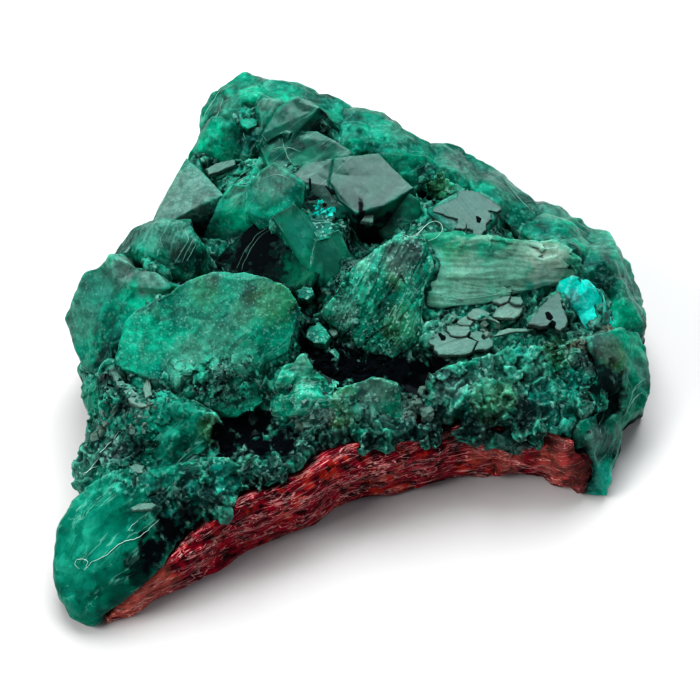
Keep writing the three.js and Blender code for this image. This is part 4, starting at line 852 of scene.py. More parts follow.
            (900, 320, 770, 1, 0.4), (950, 300, 400, 2, 0.65), (940, 330, 520, 1, 0.8),
        ],
        "pale": [
            (70, 20, 280, 2.2, 0.9), (120, 50, 410, 1.6, 0.7), (40, 10, 170, 1.6, 1), (900, 310, 540, 2, 0.6),
            (800, 330, 520, 1.6, 0.5), (930, 300, 290, 1.4, 0.6), (750, 320, 620, 1.4, 0.5),
        ],
        "rust": [(250, 140, 870, 2, 0.7)],
        "sink": [(660, 340, 990, 1.4, 0.8)],
        "raise": [(820, 330, 470, 1.8, 0.35)],
    },
}


def placesOf(piece, thousandths):
    # places in a piece's box in millimetres
    low, high = (np.array(corner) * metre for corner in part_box(piece["node"]))
    return low + np.array(thousandths) / 1000 * (high - low)


def spotsOf(piece, kind):
    # a piece's spots of one kind: x, y, z and radius in millimetres, and strength
    return [(*placesOf(piece, spot[:3]), *spot[3:]) for spot in piece.get(kind, [])]


def frontLine(points):
    # the least y in each millimetre of x, evened out over five of them
    column = np.round(points[:, 0] - lowest[0]).astype(int)
    least = np.full(column.max() + 1, np.inf)
    np.minimum.at(least, column, points[:, 1])
    filled = np.flatnonzero(np.isfinite(least))
    even = np.convolve(np.pad(least[filled], 2, mode="edge"), np.full(5, 0.2), "valid")
    return lowest[0] + filled, even


def grainOf(points, piece):
    # coordinates whose first runs along the piece's grain: a turn that takes the grain to x, or for the rock,
    # x kept and y counted from the line of its front
    if "line" in piece:
        front = np.interp(points[:, 0], *piece["line"])
        return points - np.stack([front * 0, front, front * 0], axis=1)
    turn = Vector(piece.get("grain", (1, 0, 0))).normalized().rotation_difference(Vector((1, 0, 0)))
    return points @ np.array(turn.to_matrix()).T


growth = 0.12  # how far each face is moved outwards, so that the seams close
# flanks that face this point of the plan go further towards it
inward = {"centre": (-1.0, 3.0), "amount": 0.5}


def outwardsOf(piece):
    # how far each face of a piece moves: a little everywhere, more on the flanks that meet other crystals
    def outwards(middles, normals):
        towards = np.array(inward["centre"]) - middles[:, :2]
        towards /= np.maximum(np.linalg.norm(towards, axis=1), 1)[:, None]
        facing = (normals[:, :2] * towards).sum(axis=1)
        if piece.get("allRound"):
            facing = np.linalg.norm(normals[:, :2], axis=1)
        return piece.get("grow", growth) + piece.get("inward", inward["amount"]) * between(0.2, 0.6, facing)
    return outwards


unevenness = {"size": 0.9, "height": 0.03, "seed": 900}  # of every surface, before its own relief
softening = 60  # how many times a soft spot is smoothed


def grownShape(piece):
    # the CAD node widened to meet its neighbours, rounded, and given its relief inside the CAD box
    shape = remeshed(*widened(piece["node"], outwardsOf(piece)), piece["voxel"])
    p = smoothed(shape["points"], shape, piece["rounding"])
    if "soft" in piece:
        soft = nearBalls(p, spotsOf(piece, "soft"))[:, None]
        p = p * (1 - soft) + smoothed(p, shape, softening) * soft
    shape["points"] = p
    if piece.get("grain") == "front":
        piece["line"] = frontLine(p)
    drawn = grainOf(p, piece)
    normals = normalsOf(shape)
    height = unevenness["height"] * cloud(p / unevenness["size"], unevenness["seed"])
    for r in piece["relief"]:
        part = reliefKinds[r["kind"]](drawn, r)
        if "at" in r:
            part *= nearBalls(p, spotsOf(piece, r["at"]))
        if "off" in r:
            part *= 1 - nearBalls(p, spotsOf(piece, r["off"]))
        height = height + part
    height = height + nearBalls(p, spotsOf(piece, "raise")) - nearBalls(p, spotsOf(piece, "sink"))
    height = height * between(0.0, piece.get("flatBelow", 0.05), p[:, 2])
    shape["points"] = np.clip(p + normals * height[:, None], lowest, highest)
    if "target" in piece:
        seen = normals @ np.array(towardsCamera())
        shape = thinned(shape, piece["target"], between(-0.5, 0.2, seen))
        shape["points"] = np.clip(shape["points"], lowest, highest)
    return shape


heightCell = 0.2  # of the grid of tops, in millimetres
gridMargin = 20  # cells left free round the specimen


def cellsUnder(points):
    # which cell of the grid each point stands over
    at = ((points[:, :2] - lowest[:2]) / heightCell).astype(int) + gridMargin
    return at[:, 0], at[:, 1]


def topsGrid(among):
    # the highest point over each small square of the plan
    size = np.ceil((highest - lowest)[:2] / heightCell).astype(int) + 2 * gridMargin
    grid = np.zeros(size)
    for shape in among:
        np.maximum.at(grid, cellsUnder(shape["points"]), shape["points"][:, 2])
    return grid


def within(grid, radius, pick):
    # the greatest or least of the values in a disc round each square
    reach = int(radius / heightCell)
    side = range(-reach, reach + 1)
    moves = [(i, j) for i in side for j in side if i * i + j * j <= reach * reach]
    found = grid
    for move in moves:
        found = pick(found, np.roll(grid, move, (0, 1)))
    return found


# gaps up to twice this wide are filled to this far below the tops beside them
filling = {"reach": 1.4, "depth": 0.45}


def filledFloor(shape):
    # the crust's upward faces raised to the closed tops (highest within reach, then lowest of those), less
    # the depth
    p = shape["points"]
    tallest = within(topsGrid(shapes.values()), filling["reach"], np.maximum)
    closed = within(tallest, filling["reach"], np.minimum)
    spots = spotsOf(pieces["dioptaseCrust"], "cave")
    caves = nearBalls(p * (1, 1, 0), [(x, y, 0, radius, strength) for x, y, z, radius, strength in spots])
    rise = np.clip(closed[cellsUnder(p)] - filling["depth"] - p[:, 2], 0, None)
    rise *= between(0.05, 0.4, normalsOf(shape)[:, 2]) * (1 - caves) * between(3.0, 5.0, p[:, 2])
    rise = smoothed(rise, shape, 10)
    shape["points"] = np.minimum(p + np.stack([rise * 0, rise * 0, rise], axis=1), highest)


shapes = {name: grownShape(piece) for name, piece in pieces.items()}
filledFloor(shapes["dioptaseCrust"])
print("shapes ready", sum(len(s["faces"]) * (s["faces"].shape[1] - 2) for s in shapes.values()))


def spread(grid, radius):
    # a soft mean over a window: the same bell-shaped row of weights across and then down
    reach = int(radius / heightCell * 2)
    w = np.exp(-0.5 * (np.arange(-reach, reach + 1) * heightCell / radius) ** 2)
    w /= w.sum()
    grid = np.apply_along_axis(lambda row: np.convolve(row, w, "same"), 0, grid)
    return np.apply_along_axis(lambda row: np.convolve(row, w, "same"), 1, grid)


tops = topsGrid(shapes.values())
topsWide, topsFine = spread(tops, 1.3), spread(tops, 0.5)


# a six-sided prism of width 1 whose end has three slanting faces: a ring below, a ring above of alternating
# height, a tip, and the middle of its foot
prism = {"foot": -0.6, "tip": 0.36, "zigzag": 0.12}
around = np.arange(6)
after = (around + 1) % 6
ring = np.stack([np.cos(around * math.pi / 3), np.sin(around * math.pi / 3), around * 0], axis=1) * 0.5
zigzag = prism["zigzag"] * (-1.0) ** around
prismPoints = np.concatenate([
    ring + (0, 0, prism["foot"]),
    ring + np.stack([around * 0, around * 0, zigzag], axis=1),
    [(0, 0, prism["tip"]), (0, 0, prism["foot"])]])
prismFaces = np.concatenate([
    np.stack([around, after, after + 6], axis=1),
    np.stack([around, after + 6, around + 6], axis=1),
    np.stack([around + 6, after + 6, np.full(6, 12)], axis=1),
    np.stack([after, around, np.full(6, 13)], axis=1)])


def turnsTo(axes, rng):
    # for each direction, the three axes of a body that stands along it with a random spin
    z = axes / np.linalg.norm(axes, axis=1)[:, None]
    x = np.cross(z, rng.normal(size=z.shape))
    x /= np.linalg.norm(x, axis=1)[:, None]
    return np.stack([x, np.cross(z, x), z], axis=2)


def copies(points, faces, places, sizes, turns, jitter, rng):
    # copies of one small closed body, each with its own size, turn and slight distortion
    count, each = len(places), len(points)
    bodies = points + jitter * rng.uniform(-1, 1, (count, each, 3)) * (0.5, 0.5, 0.25)
    bodies = np.einsum("nij,nkj->nki", turns, bodies * sizes[:, None, :]) + places[:, None]
    many = faces[None] + each * np.arange(count)[:, None, None]
    return {"points": np.clip(bodies.reshape(-1, 3), lowest, highest), "faces": many.reshape(-1, 3)}


def picked(shape, weight, spacing, rng):
    # points of a shape, at most one in each cube as wide as the spacing, and fewer where the weight is low
    order = rng.permutation(len(shape["points"]))
    order = order[weight[order] > rng.uniform(0.02, 1, len(order))]
    cell = np.floor(shape["points"][order] / spacing).astype(np.int64)
    _, first = np.unique(cell @ np.array([1, 1000, 1000000]), return_index=True)
    return order[first]


# small crystals strewn on the spots of a piece: how far apart, how wide, and how far each leans from the
# surface
strewn = {
    "druse": {
        "on": "dioptaseCrust", "spots": "druse", "finish": "granular", "spacing": 0.6, "small": 0.3,
        "large": 1.0, "lean": 0.6, "seed": 5},
    "sugar": {
        "on": "plateCrystal", "spots": "sugar", "finish": "granular", "spacing": 0.28, "small": 0.14,
        "large": 0.4, "lean": 0.8, "seed": 6},
    "frontSugar": {
        "on": "fracturedCrystal", "spots": "sugar", "finish": "granular", "spacing": 0.4, "small": 0.14,
        "large": 0.4, "lean": 0.8, "seed": 7},
    "blueCrumbs": {
        "on": "centreCluster", "spots": "crumbs", "finish": "turquoise", "spacing": 0.36, "small": 0.3,
        "large": 0.8, "lean": 0.6, "seed": 8},
    "paleCrumbs": {
        "on": "dioptaseCrust", "spots": "chips", "finish": "pale", "spacing": 0.5, "small": 0.3,
        "large": 1.0, "lean": 1.0, "seed": 9},
}


def strewnShape(s):
    # a body on each picked point, its width between small and large and mostly near small, sunk by a tenth of
    # it
    rng = np.random.default_rng(s["seed"])
    shape = shapes[s["on"]]
    weight = nearBalls(shape["points"], spotsOf(pieces[s["on"]], s["spots"]), 0.3)
    chosen = picked(shape, weight, s["spacing"], rng)
    normals = normalsOf(shape)[chosen]
    axes = normals + s["lean"] * rng.uniform(-1, 1, normals.shape)
    width = s["small"] + (s["large"] - s["small"]) * rng.uniform(0, 1, len(chosen)) ** 2.5
    sizes = np.stack([width * rng.uniform(0.7, 1.2, len(chosen)), width,
                      width * rng.uniform(0.8, 1.4, len(chosen))], axis=1)
    places = shape["points"][chosen] - 0.1 * width[:, None] * normals
    made = copies(prismPoints, prismFaces, places, sizes, turnsTo(axes, rng), 0.16, rng)
    made["tone"] = np.repeat(rng.uniform(-1, 1, len(chosen)), len(prismPoints))
    return made


# flat flakes with a broken outline, by finish: the piece they lie on, their thickness, and their height and
# corners in thousandths of its box. The height is None where a flake rests on the tops under it, and a corner
# of three numbers has a height of its own.
flakes = {
    # pale chips and level flakes, their grey partly painted sheen
    "pale": [
        ("dioptaseCrust", 0.35, None, [(103, 392), (106, 391), (125, 359), (108, 359), (99, 385)]),
        ("dioptaseCrust", 0.45, None, [
            (120, 346), (132, 352), (151, 330), (160, 314), (148, 311), (131, 322),
        ]),
        ("dioptaseCrust", 0.3, None, [(152, 351), (160, 385), (168, 337), (156, 331)]),
        ("dioptaseCrust", 0.22, None, [(130, 228), (141, 232), (155, 229), (154, 214), (134, 215)]),
        ("dioptaseCrust", 0.25, None, [
            (135, 148), (150, 155), (170, 157), (179, 153), (169, 144), (139, 142),
        ]),
        ("dioptaseCrust", 0.4, 984, [(250, 798), (267, 811), (298, 820), (302, 809), (278, 795), (256, 786)]),
        ("dioptaseCrust", 0.3, 749, [(266, 632), (274, 637), (279, 628), (274, 619)]),
        ("shoulderCrystal", 0.15, None, [(123, 341), (177, 504), (200, 464), (156, 334)]),
        ("dioptaseCrust", 0.3, 770, [
            (664, 496), (680, 498), (704, 493), (705, 485), (697, 474), (689, 473), (679, 473), (673, 476),
            (665, 485),
        ]),
        ("dioptaseCrust", 0.35, 758, [
            (627, 484), (638, 490), (654, 488), (664, 484), (673, 473), (685, 470), (699, 473), (715, 464),
            (705, 440), (693, 436), (665, 435), (651, 436), (643, 448), (642, 456), (635, 460), (635, 472),
            (628, 477),
        ]),
        ("dioptaseCrust", 0.3, 758, [
            (706, 485), (720, 487), (727, 483), (723, 474), (729, 467), (737, 473), (743, 467), (743, 454),
            (733, 448), (711, 446), (718, 464), (704, 475),
        ]),
        ("dioptaseCrust", 0.3, 766, [
            (653, 501), (658, 507), (666, 508), (670, 518), (675, 523), (683, 522), (682, 513), (674, 503),
            (662, 501), (654, 494),
        ]),
        ("dioptaseCrust", 0.3, 774, [
            (681, 500), (686, 509), (697, 516), (702, 509), (710, 504), (705, 496), (694, 496),
        ]),
        ("dioptaseCrust", 0.3, 782, [
            (700, 520), (710, 529), (718, 532), (730, 527), (740, 520), (738, 515), (746, 508), (755, 502),
            (754, 499), (744, 505), (734, 509), (722, 506), (708, 508), (701, 513),
        ]),
        ("dioptaseCrust", 0.35, 794, [
            (743, 513), (752, 530), (764, 536), (771, 540), (781, 536), (794, 532), (794, 523), (788, 513),
            (778, 507), (760, 508), (746, 510),
        ]),
        ("dioptaseCrust", 0.3, 817, [
            (773, 541), (776, 550), (793, 550), (794, 545), (796, 539), (792, 531), (780, 533), (775, 537),
        ]),
        ("dioptaseCrust", 0.3, 805, [
            (743, 544), (751, 549), (765, 553), (772, 555), (775, 553), (771, 542), (759, 537), (747, 539),
        ]),
        ("dioptaseCrust", 0.25, 766, [
            (743, 473), (754, 485), (772, 492), (796, 490), (810, 488), (802, 484), (782, 484), (762, 478),
        ]),
        ("centreCluster", 0.5, 787, [(658, 49), (716, 166), (739, 157), (735, 35)]),
        ("dioptaseCrust", 0.3, 780, [(463, 485), (473, 491), (480, 478), (471, 470)]),
        ("apexCluster", 0.2, 0, [
            (178, 505, 909), (190, 511, 918), (203, 393, 878), (198, 319, 935), (185, 408, 874),
        ]),
    ],
    # grey flakes on level faces, their grey partly painted sheen
    "grey": [
        ("dioptaseCrust", 0.5, 814, [
            (802, 491), (808, 501), (818, 516), (829, 532), (843, 547), (857, 563), (860, 553), (861, 542),
            (862, 529), (868, 514), (870, 499), (867, 486), (857, 477), (850, 481), (848, 491), (844, 499),
            (835, 487), (825, 486), (817, 489),
        ]),
        ("ridgeCluster", 0.4, 1016, [
            (459, 175), (499, 203), (545, 228), (576, 254), (582, 288), (604, 310), (642, 307), (680, 293),
            (710, 270), (736, 248), (759, 225), (789, 191), (790, 169), (772, 152), (750, 163), (727, 163),
            (744, 135), (743, 101), (718, 73), (715, 22), (694, -6), (689, -33), (667, -33), (652, -11),
            (655, 25), (623, 31), (621, 72), (614, 29), (562, 36), (578, 73), (580, 101), (536, 118),
            (502, 140), (461, 157),
        ]),
    ],
    # near-black slivers along cracks and gaps between crystals: painted shade
    "dark": [
        ("dioptaseCrust", 0.1, 820, [
            (833, 514), (838, 516), (844, 510), (845, 503), (841, 499), (836, 502), (834, 508),
        ]),
        ("dioptaseCrust", 0.1, 820, [(845, 498), (850, 495), (850, 488), (846, 486), (842, 494)]),
        ("dioptaseCrust", 0.1, 761, [(650, 480), (655, 482), (663, 473), (661, 467), (655, 467)]),
        ("ridgeCluster", 0.1, 1025, [(670, 118), (682, 118), (694, 101), (686, 76), (672, 79)]),
        ("centreCluster", 0.1, 0, [(238, 476, 671), (253, 399, 854), (260, 237, 747), (253, 231, 740)]),
        ("centreCluster", 0.1, 871, [(324, 394), (334, 394), (337, 285), (328, 285)]),
        ("centreCluster", 0.1, 871, [(318, 213), (357, 240), (389, 222), (344, 195)]),
        ("centreCluster", 0.1, 871, [(434, 321), (453, 294), (479, 285), (504, 321), (485, 258), (466, 258)]),
        ("centreCluster", 0.1, 871, [(412, 168), (428, 177), (437, 159), (428, 141), (415, 145)]),
        ("paleCrystals", 0.1, 0, [
            (755, 810, 1052), (827, 780, 1043), (875, 734, 1031), (959, 611, 999), (959, 611, 999),
            (887, 719, 1027), (827, 780, 1043),
        ]),
    ],
    "milky": [
        ("apexCluster", 1.4, 893, [
            (291, 452), (332, 525), (385, 500), (410, 404), (405, 284), (353, 224), (305, 284),
        ]),
    ],
    "shattered": [
        ("dioptaseCrust", 0.8, 851, [(409, 555), (420, 564), (435, 562), (440, 549), (428, 536), (413, 540)]),
        ("dioptaseCrust", 1, 804, [
            (420, 497), (435, 506), (452, 493), (466, 467), (459, 450), (436, 454), (418, 472),
        ]),
        ("dioptaseCrust", 0.8, 741, [(459, 445), (473, 454), (483, 441), (478, 426), (463, 428)]),
        ("centreCluster", 1.8, 754, [
            (344, 56), (376, 119), (434, 128), (472, 74), (485, -15), (454, -87), (396, -105), (351, -33),
        ]),
    ],
}
# painted shade: how dark a flake is at its underside, rim and top
rimDarkness = (0.45, 0.1, 0.0)  # of a flake's underside, rim and top
# the outline of a flake: its steps, how far it wanders, how far its top is set in and raised and how much
# that varies, how far its underside flares, what share of its thickness lies below, and how far a resting
# flake is lifted
flakeEdge = {"step": 0.16, "wander": 0.05, "inset": 0.07, "raised": 0.03, "uneven": 0.015, "flare": 0.06,
             "below": 0.7,
             "lifted": 0.15}
# pale veins: the piece they lie on, their radius, and points that they run by in thousandths of its box
veins = [
    ("darkCrystal", 0.018, [
        (626, 890, 984), (502, 896, 927), (378, 810, 816), (288, 657, 682), (221, 500, 555), (154, 312, 411),
    ]),
    ("darkCrystal", 0.018, [
        (524, 861, 919), (400, 760, 798), (322, 605, 668), (255, 432, 533), (211, 291, 415),
    ]),
    ("shoulderCrystal", 0.035, [(869, 517, 892), (838, 351, 844), (786, 211, 772)]),
    ("shoulderCrystal", 0.03, [(848, 522, 907), (787, 340, 854), (724, 185, 776)]),
    ("shoulderCrystal", 0.03, [(777, 440, 921), (704, 271, 837), (621, 95, 739)]),
    ("shoulderCrystal", 0.03, [(569, 623, 974), (506, 506, 921), (539, 368, 888)]),
    ("shoulderCrystal", 0.04, [(753, 736, 952), (797, 497, 929), (715, 312, 859)]),
    ("apexCluster", 0.035, [(71, 367, 698), (99, 518, 760), (146, 644, 824), (198, 776, 809)]),
    ("apexCluster", 0.03, [(91, 269, 790), (145, 338, 884), (185, 457, 868), (195, 612, 872)]),
    ("apexCluster", 0.025, [(278, 400, 757), (322, 218, 830), (346, 170, 777)]),
    ("apexCluster", 0.03, [(409, 598, 928), (480, 562, 892), (552, 440, 964)]),
    ("endCrystal", 0.04, [(899, 618, 474), (791, 561, 489), (697, 493, 461), (637, 415, 424)]),
    ("endCrystal", 0.03, [(494, 193, 302), (397, 122, 314)]),
    ("striatedCrystal", 0.035, [(96, 51, 498), (325, 98, 500), (587, 197, 518)]),
    ("rightCluster", 0.04, [(909, 277, 650), (881, 183, 634), (923, 227, 398)]),
    ("dioptaseCrust", 0.06, [
        (281, 762, 831), (292, 767, 851), (302, 775, 866), (312, 783, 881), (323, 791, 896),
    ]),
    ("dioptaseCrust", 0.05, [
        (285, 772, 860), (295, 780, 876), (305, 788, 891), (316, 796, 906), (324, 804, 921),
    ]),
    ("dioptaseCrust", 0.06, [(288, 759, 816), (298, 767, 850), (316, 775, 844), (330, 784, 867)]),
    ("dioptaseCrust", 0.05, [(309, 798, 909), (319, 806, 924), (330, 814, 939), (337, 819, 948)]),
    ("dioptaseCrust", 0.05, [(278, 780, 876), (288, 786, 888), (298, 794, 903)]),
    ("endCrystal", 0.04, [
        (361, 114, 345), (333, 171, 472), (355, 249, 556), (426, 391, 470), (440, 467, 513),
    ]),
    ("endCrystal", 0.035, [
        (875, 655, 529), (777, 584, 538), (719, 526, 493), (686, 464, 423), (651, 385, 355),
    ]),
    ("endCrystal", 0.03, [(913, 706, 525), (825, 626, 553), (754, 570, 535)]),
    ("endCrystal", 0.035, [(487, 86, 145), (522, 145, 188), (582, 216, 208), (630, 278, 230)]),
    ("endCrystal", 0.025, [(535, 141, 162), (583, 198, 178), (619, 250, 204)]),
    ("rightCluster", 0.03, [
        (163, 890, 892), (278, 850, 879), (384, 792, 868), (510, 750, 819), (624, 685, 793),
    ]),
    ("rightCluster", 0.03, [(728, 577, 773), (801, 496, 722), (866, 404, 662), (897, 321, 615)]),
    ("rightCluster", 0.025, [(454, 563, 926), (582, 570, 862), (681, 533, 818)]),
    ("ridgeCluster", 0.03, [(812, 523, 628), (869, 442, 630), (921, 357, 624), (965, 303, 576)]),
    ("ridgeCluster", 0.025, [(824, 575, 518), (897, 517, 478), (955, 450, 463), (982, 338, 507)]),
    ("centreCluster", 0.03, [(62, 684, 753), (121, 698, 797), (199, 693, 823), (264, 656, 824)]),
    ("centreCluster", 0.03, [(153, 761, 834), (160, 698, 813), (186, 621, 786), (239, 539, 766)]),
    ("centreCluster", 0.025, [(48, 690, 637), (88, 674, 772), (153, 700, 811)]),
    ("paleCrystals", 0.03, [(588, 745, 922), (731, 774, 973), (899, 703, 968), (994, 595, 879)]),
]
veinLift = 0.02  # how far a vein stands out
# fibres of lint: the piece, their radius, their height over its surface (None where they hang free), and
# points
lint = [
    ("dioptaseCrust", 0.03, 0.06, [
        (58, 68, 329), (72, 77, 371), (92, 81, 404), (107, 93, 438), (126, 102, 467), (139, 103, 474),
        (152, 109, 489), (167, 121, 512), (180, 135, 527),
    ]),
    ("dioptaseCrust", 0.025, 0.06, [
        (60, 68, 336), (64, 79, 366), (55, 85, 367), (45, 85, 342), (43, 79, 319), (50, 72, 316),
    ]),
    ("dioptaseCrust", 0.025, 0.05, [(131, 117, 497), (137, 125, 513), (147, 130, 527)]),
    ("dioptaseCrust", 0.03, 0.06, [
        (51, 229, 466), (67, 244, 532), (83, 265, 579), (100, 281, 627), (114, 292, 701),
    ]),
    ("dioptaseCrust", 0.025, 0.06, [(53, 234, 473), (63, 239, 518), (74, 242, 545)]),
    ("striatedCrystal", 0.022, None, [
        (-212, 679, 1032), (-173, 728, 1032), (-134, 679, 1032), (-88, 728, 1032), (-41, 841, 1032),
        (-2, 922, 1032), (38, 946, 1032), (70, 906, 1032), (83, 825, 1032), (69, 744, 1032), (36, 663, 1032),
        (-17, 614, 1032),
    ]),
    ("striatedCrystal", 0.018, None, [(-134, 631, 1032), (-88, 711, 1032), (-48, 808, 1032)]),
]


def flakeShape(on, thick, height, outline, finish, rng):
    # the outline flattened to its own plane, cut into short steps that wander in and out, and drawn in three
    # rings (below, at the rim, and inside and above it), closed by triangles over the first and the last
    corners = placesOf(pieces[on], [(*corner, height or 0)[:3] for corner in outline])
    if height is None:
        corners[:, 2] = np.median(tops[cellsUnder(corners)]) + flakeEdge["lifted"]
    middle = corners.mean(axis=0)
    up = np.linalg.svd(corners - middle)[2][2]
    up *= np.sign(up[2])
    corners = corners - np.outer((corners - middle) @ up, up)
    turning = np.cross(corners - middle, np.roll(corners, -1, axis=0) - middle) @ up
    if turning.sum() < 0:
        corners = corners[::-1]
    parts = []
    for start, end in zip(corners, np.roll(corners, -1, axis=0)):
        count = max(1, int(np.linalg.norm(end - start) / flakeEdge["step"]))
        parts.append(start + (end - start) * (np.arange(count) / count)[:, None])
    line = np.concatenate(parts)
    outward = (line - middle) / np.linalg.norm(line - middle, axis=1)[:, None]
    line = line + outward * flakeEdge["wander"] * rng.uniform(-1, 1, (len(line), 1))
    raised = flakeEdge["raised"] + flakeEdge["uneven"] * rng.uniform(-1, 1, (len(line), 1))
    inside = line - outward * flakeEdge["inset"] + up * raised
    below = line + outward * flakeEdge["flare"] - up * thick * flakeEdge["below"]
    n = len(line)
    i, j = np.arange(n), (np.arange(n) + 1) % n
    lid = np.array(tessellate_polygon([[Vector(q) for q in inside]]))
    facing = np.cross(inside[lid[:, 1]] - inside[lid[:, 0]], inside[lid[:, 2]] - inside[lid[:, 0]]) @ up
    if facing.sum() < 0:
        lid = lid[:, ::-1]
    faces = np.concatenate([
        np.stack([i, j, j + n], axis=1), np.stack([i, j + n, i + n], axis=1),
        np.stack([i + n, j + n, j + 2 * n], axis=1), np.stack([i + n, j + 2 * n, i + 2 * n], axis=1),
        lid + 2 * n, lid[:, ::-1]])
    points = np.clip(np.concatenate([below, line, inside]), lowest, highest)
    # low carries painted shade: all over a dark flake, else on its underside and rim
    return {"points": points, "faces": faces, "tone": np.full(3 * n, rng.uniform(-1, 1)),
            "low": np.repeat((1, 1, 1) if finish == "dark" else rimDarkness, n)}


def threadShape(on, radius, lift, points, sides=6):
    # rings round a soft line by the guide points, which follows the surface at its lift or hangs free
    guide = placesOf(pieces[on], points)
    t = np.linspace(0, len(guide) - 1, 8 * (len(guide) - 1) + 1)
    path = np.stack([np.interp(t, np.arange(len(guide)), guide[:, k]) for k in range(3)], axis=1)
    surface = shapes[on]
    normals = normalsOf(surface)
    near = np.array([((surface["points"] - q) ** 2).sum(axis=1).argmin() for q in path])
    if lift is not None:
        path = surface["points"][near] + normals[near] * lift
    for _ in range(8 if lift is None else 3):
        path[1:-1] = 0.5 * path[1:-1] + 0.25 * (path[:-2] + path[2:])
    ahead = np.gradient(path, axis=0)
    a = np.cross(ahead, normals[near] + (0.01, 0.02, 0.03))
    a /= np.maximum(np.linalg.norm(a, axis=1), 1e-9)[:, None]
    b = np.cross(ahead, a)
    b /= np.maximum(np.linalg.norm(b, axis=1), 1e-9)[:, None]
    angles = np.arange(sides) * 2 * math.pi / sides
    thick = radius * (0.35 + 0.65 * np.sin(np.linspace(0.15, math.pi - 0.15, len(path))))[:, None, None]
    outwards = np.cos(angles)[:, None] * a[:, None] + np.sin(angles)[:, None] * b[:, None]
    rings = path[:, None] + thick * outwards
    points = np.concatenate([rings.reshape(-1, 3), path[:1], path[-1:]])
    k, n = np.arange(sides), len(path)
    after = (k + 1) % sides
    quads = [np.stack([r + k, r + sides + k, r + sides + after, r + after], axis=1)
             for r in range(0, (n - 1) * sides, sides)]
    walls = [np.stack([quad[:, [0, 1, 2]], quad[:, [0, 2, 3]]], axis=1).reshape(-1, 3) for quad in quads]
    ends = [np.stack([k, after, np.full(sides, n * sides)], axis=1),
            np.stack([after + (n - 1) * sides, k + (n - 1) * sides, np.full(sides, n * sides + 1)], axis=1)]
    return {"points": np.clip(points, lowest, highest), "faces": np.concatenate([*walls, *ends])}


def gathered(parts):
    # several shapes as one
    start = np.cumsum([0] + [len(part["points"]) for part in parts])
    whole = {"points": np.concatenate([part["points"] for part in parts]),
             "faces": np.concatenate([part["faces"] + at for part, at in zip(parts, start)])}
    for kind in ("tone", "low"):
        if kind in parts[0]:
            whole[kind] = np.concatenate([part[kind] for part in parts])
    return whole


smallShapes = {name: (strewnShape(s), s["finish"], s["on"]) for name, s in strewn.items()}
flakeRandom = np.random.default_rng(31)
for kind, listed in flakes.items():
    found = [flakeShape(*flake, kind, flakeRandom) for flake in listed]
    smallShapes[kind + "Flakes"] = (gathered(found), kind, "dioptaseCrust")
smallShapes["lint"] = (gathered([threadShape(*fibre) for fibre in lint]), "lint", "dioptaseCrust")
lines = [threadShape(on, radius, veinLift, points) for on, radius, points in veins]
smallShapes["paleLines"] = (gathered(lines), "paleLine", "dioptaseCrust")
print("small bodies ready")


# how far below the mean tops a place starts to darken with painted shade, and is black
hollow = {"wide": (0.5, 2.6), "fine": (0.2, 1.2)}


def masksOf(shape):
    # cavity: how far below the tops round it a point lies, or how far it faces down, which paints shade in
    # hollows and under overhangs; edge and groove: how sharply it stands out of its close neighbours or lies
    # in between them, the groove painting shade in creases; bulge: the same over a wider stretch, which
    # paints bulges lighter and dips darker
    p = shape["points"]
    wide = between(*hollow["wide"], topsWide[cellsUnder(p)] - p[:, 2])
    fine = between(*hollow["fine"], topsFine[cellsUnder(p)] - p[:, 2])
    normals = normalsOf(shape)
    out = ((p - smoothed(p, shape, 2)) * normals).sum(axis=1)
    broad = ((p - smoothed(p, shape, 25)) * normals).sum(axis=1)
    under = between(0.2, 0.7, -normals[:, 2])
    return {
        "cavity": np.maximum(np.maximum(wide, 0.8 * fine), 0.9 * under),
        "edge": between(0.008, 0.04, out),
        "groove": between(0.008, 0.05, -out),
        "bulge": np.clip(broad / 0.3, -1, 1) * 0.5 + 0.5,
    }


# deep, body and bright: one green, darkened by painted shade and random patches and brightened by painted
# light coming through; pale: grey, partly the crystal's own and partly painted sheen; frost: the white of
# frosted edges, fibres, painted edge highlights and painted glints; dark: the near black of painted shade and
# of cracks
greens = {
    "deep": srgb(0, 50, 52),
    "body": srgb(0, 108, 92),
    "bright": srgb(0, 165, 134),
    "pale": srgb(110, 165, 150),
    "frost": srgb(154, 206, 192),
    "dark": srgb(12, 0, 10),
}


def fill(tree, node, sockets):
    # each input is either linked or given its value
    for key, value in sockets.items():
        if isinstance(value, bpy.types.NodeSocket):
            tree.links.new(value, node.inputs[key])
        else:
            node.inputs[key].default_value = value
    return node


def add(tree, kind, sockets=None, **settings):
    node = tree.nodes.new(kind)
    for key, value in settings.items():
        setattr(node, key, value)
    return fill(tree, node, sockets or {})


def place(tree, group, sockets):
    node = tree.nodes.new("ShaderNodeGroup")
    node.node_tree = group
    return fill(tree, node, sockets).outputs


def newGroup(name, inputs, outputs):
    # a node group with its inputs by name and default value; an output is a number unless it is called Color
    tree = bpy.data.node_groups.new(name, "ShaderNodeTree")
    kinds = {1: "NodeSocketFloat", 3: "NodeSocketVector", 4: "NodeSocketColor"}
    for title, value in inputs.items():
        socket = tree.interface.new_socket(title, in_out="INPUT", socket_type=kinds[np.size(value)])
        socket.default_value = value
    for title in outputs:
        tree.interface.new_socket(title, in_out="OUTPUT", socket_type=kinds[4 if title == "Color" else 1])
    return tree, tree.nodes.new("NodeGroupInput").outputs, tree.nodes.new("NodeGroupOutput").inputs


def mixColour(tree, share, first, second, blend="MIX"):
    return add(tree, "ShaderNodeMix", {0: share, 6: first, 7: second}, data_type="RGBA",
               blend_type=blend).outputs[2]


def sums(tree, operation, *values):
    return add(tree, "ShaderNodeMath", dict(enumerate(values)), operation=operation).outputs[0]


def times(tree, first, second):
    return sums(tree, "MULTIPLY", first, second)


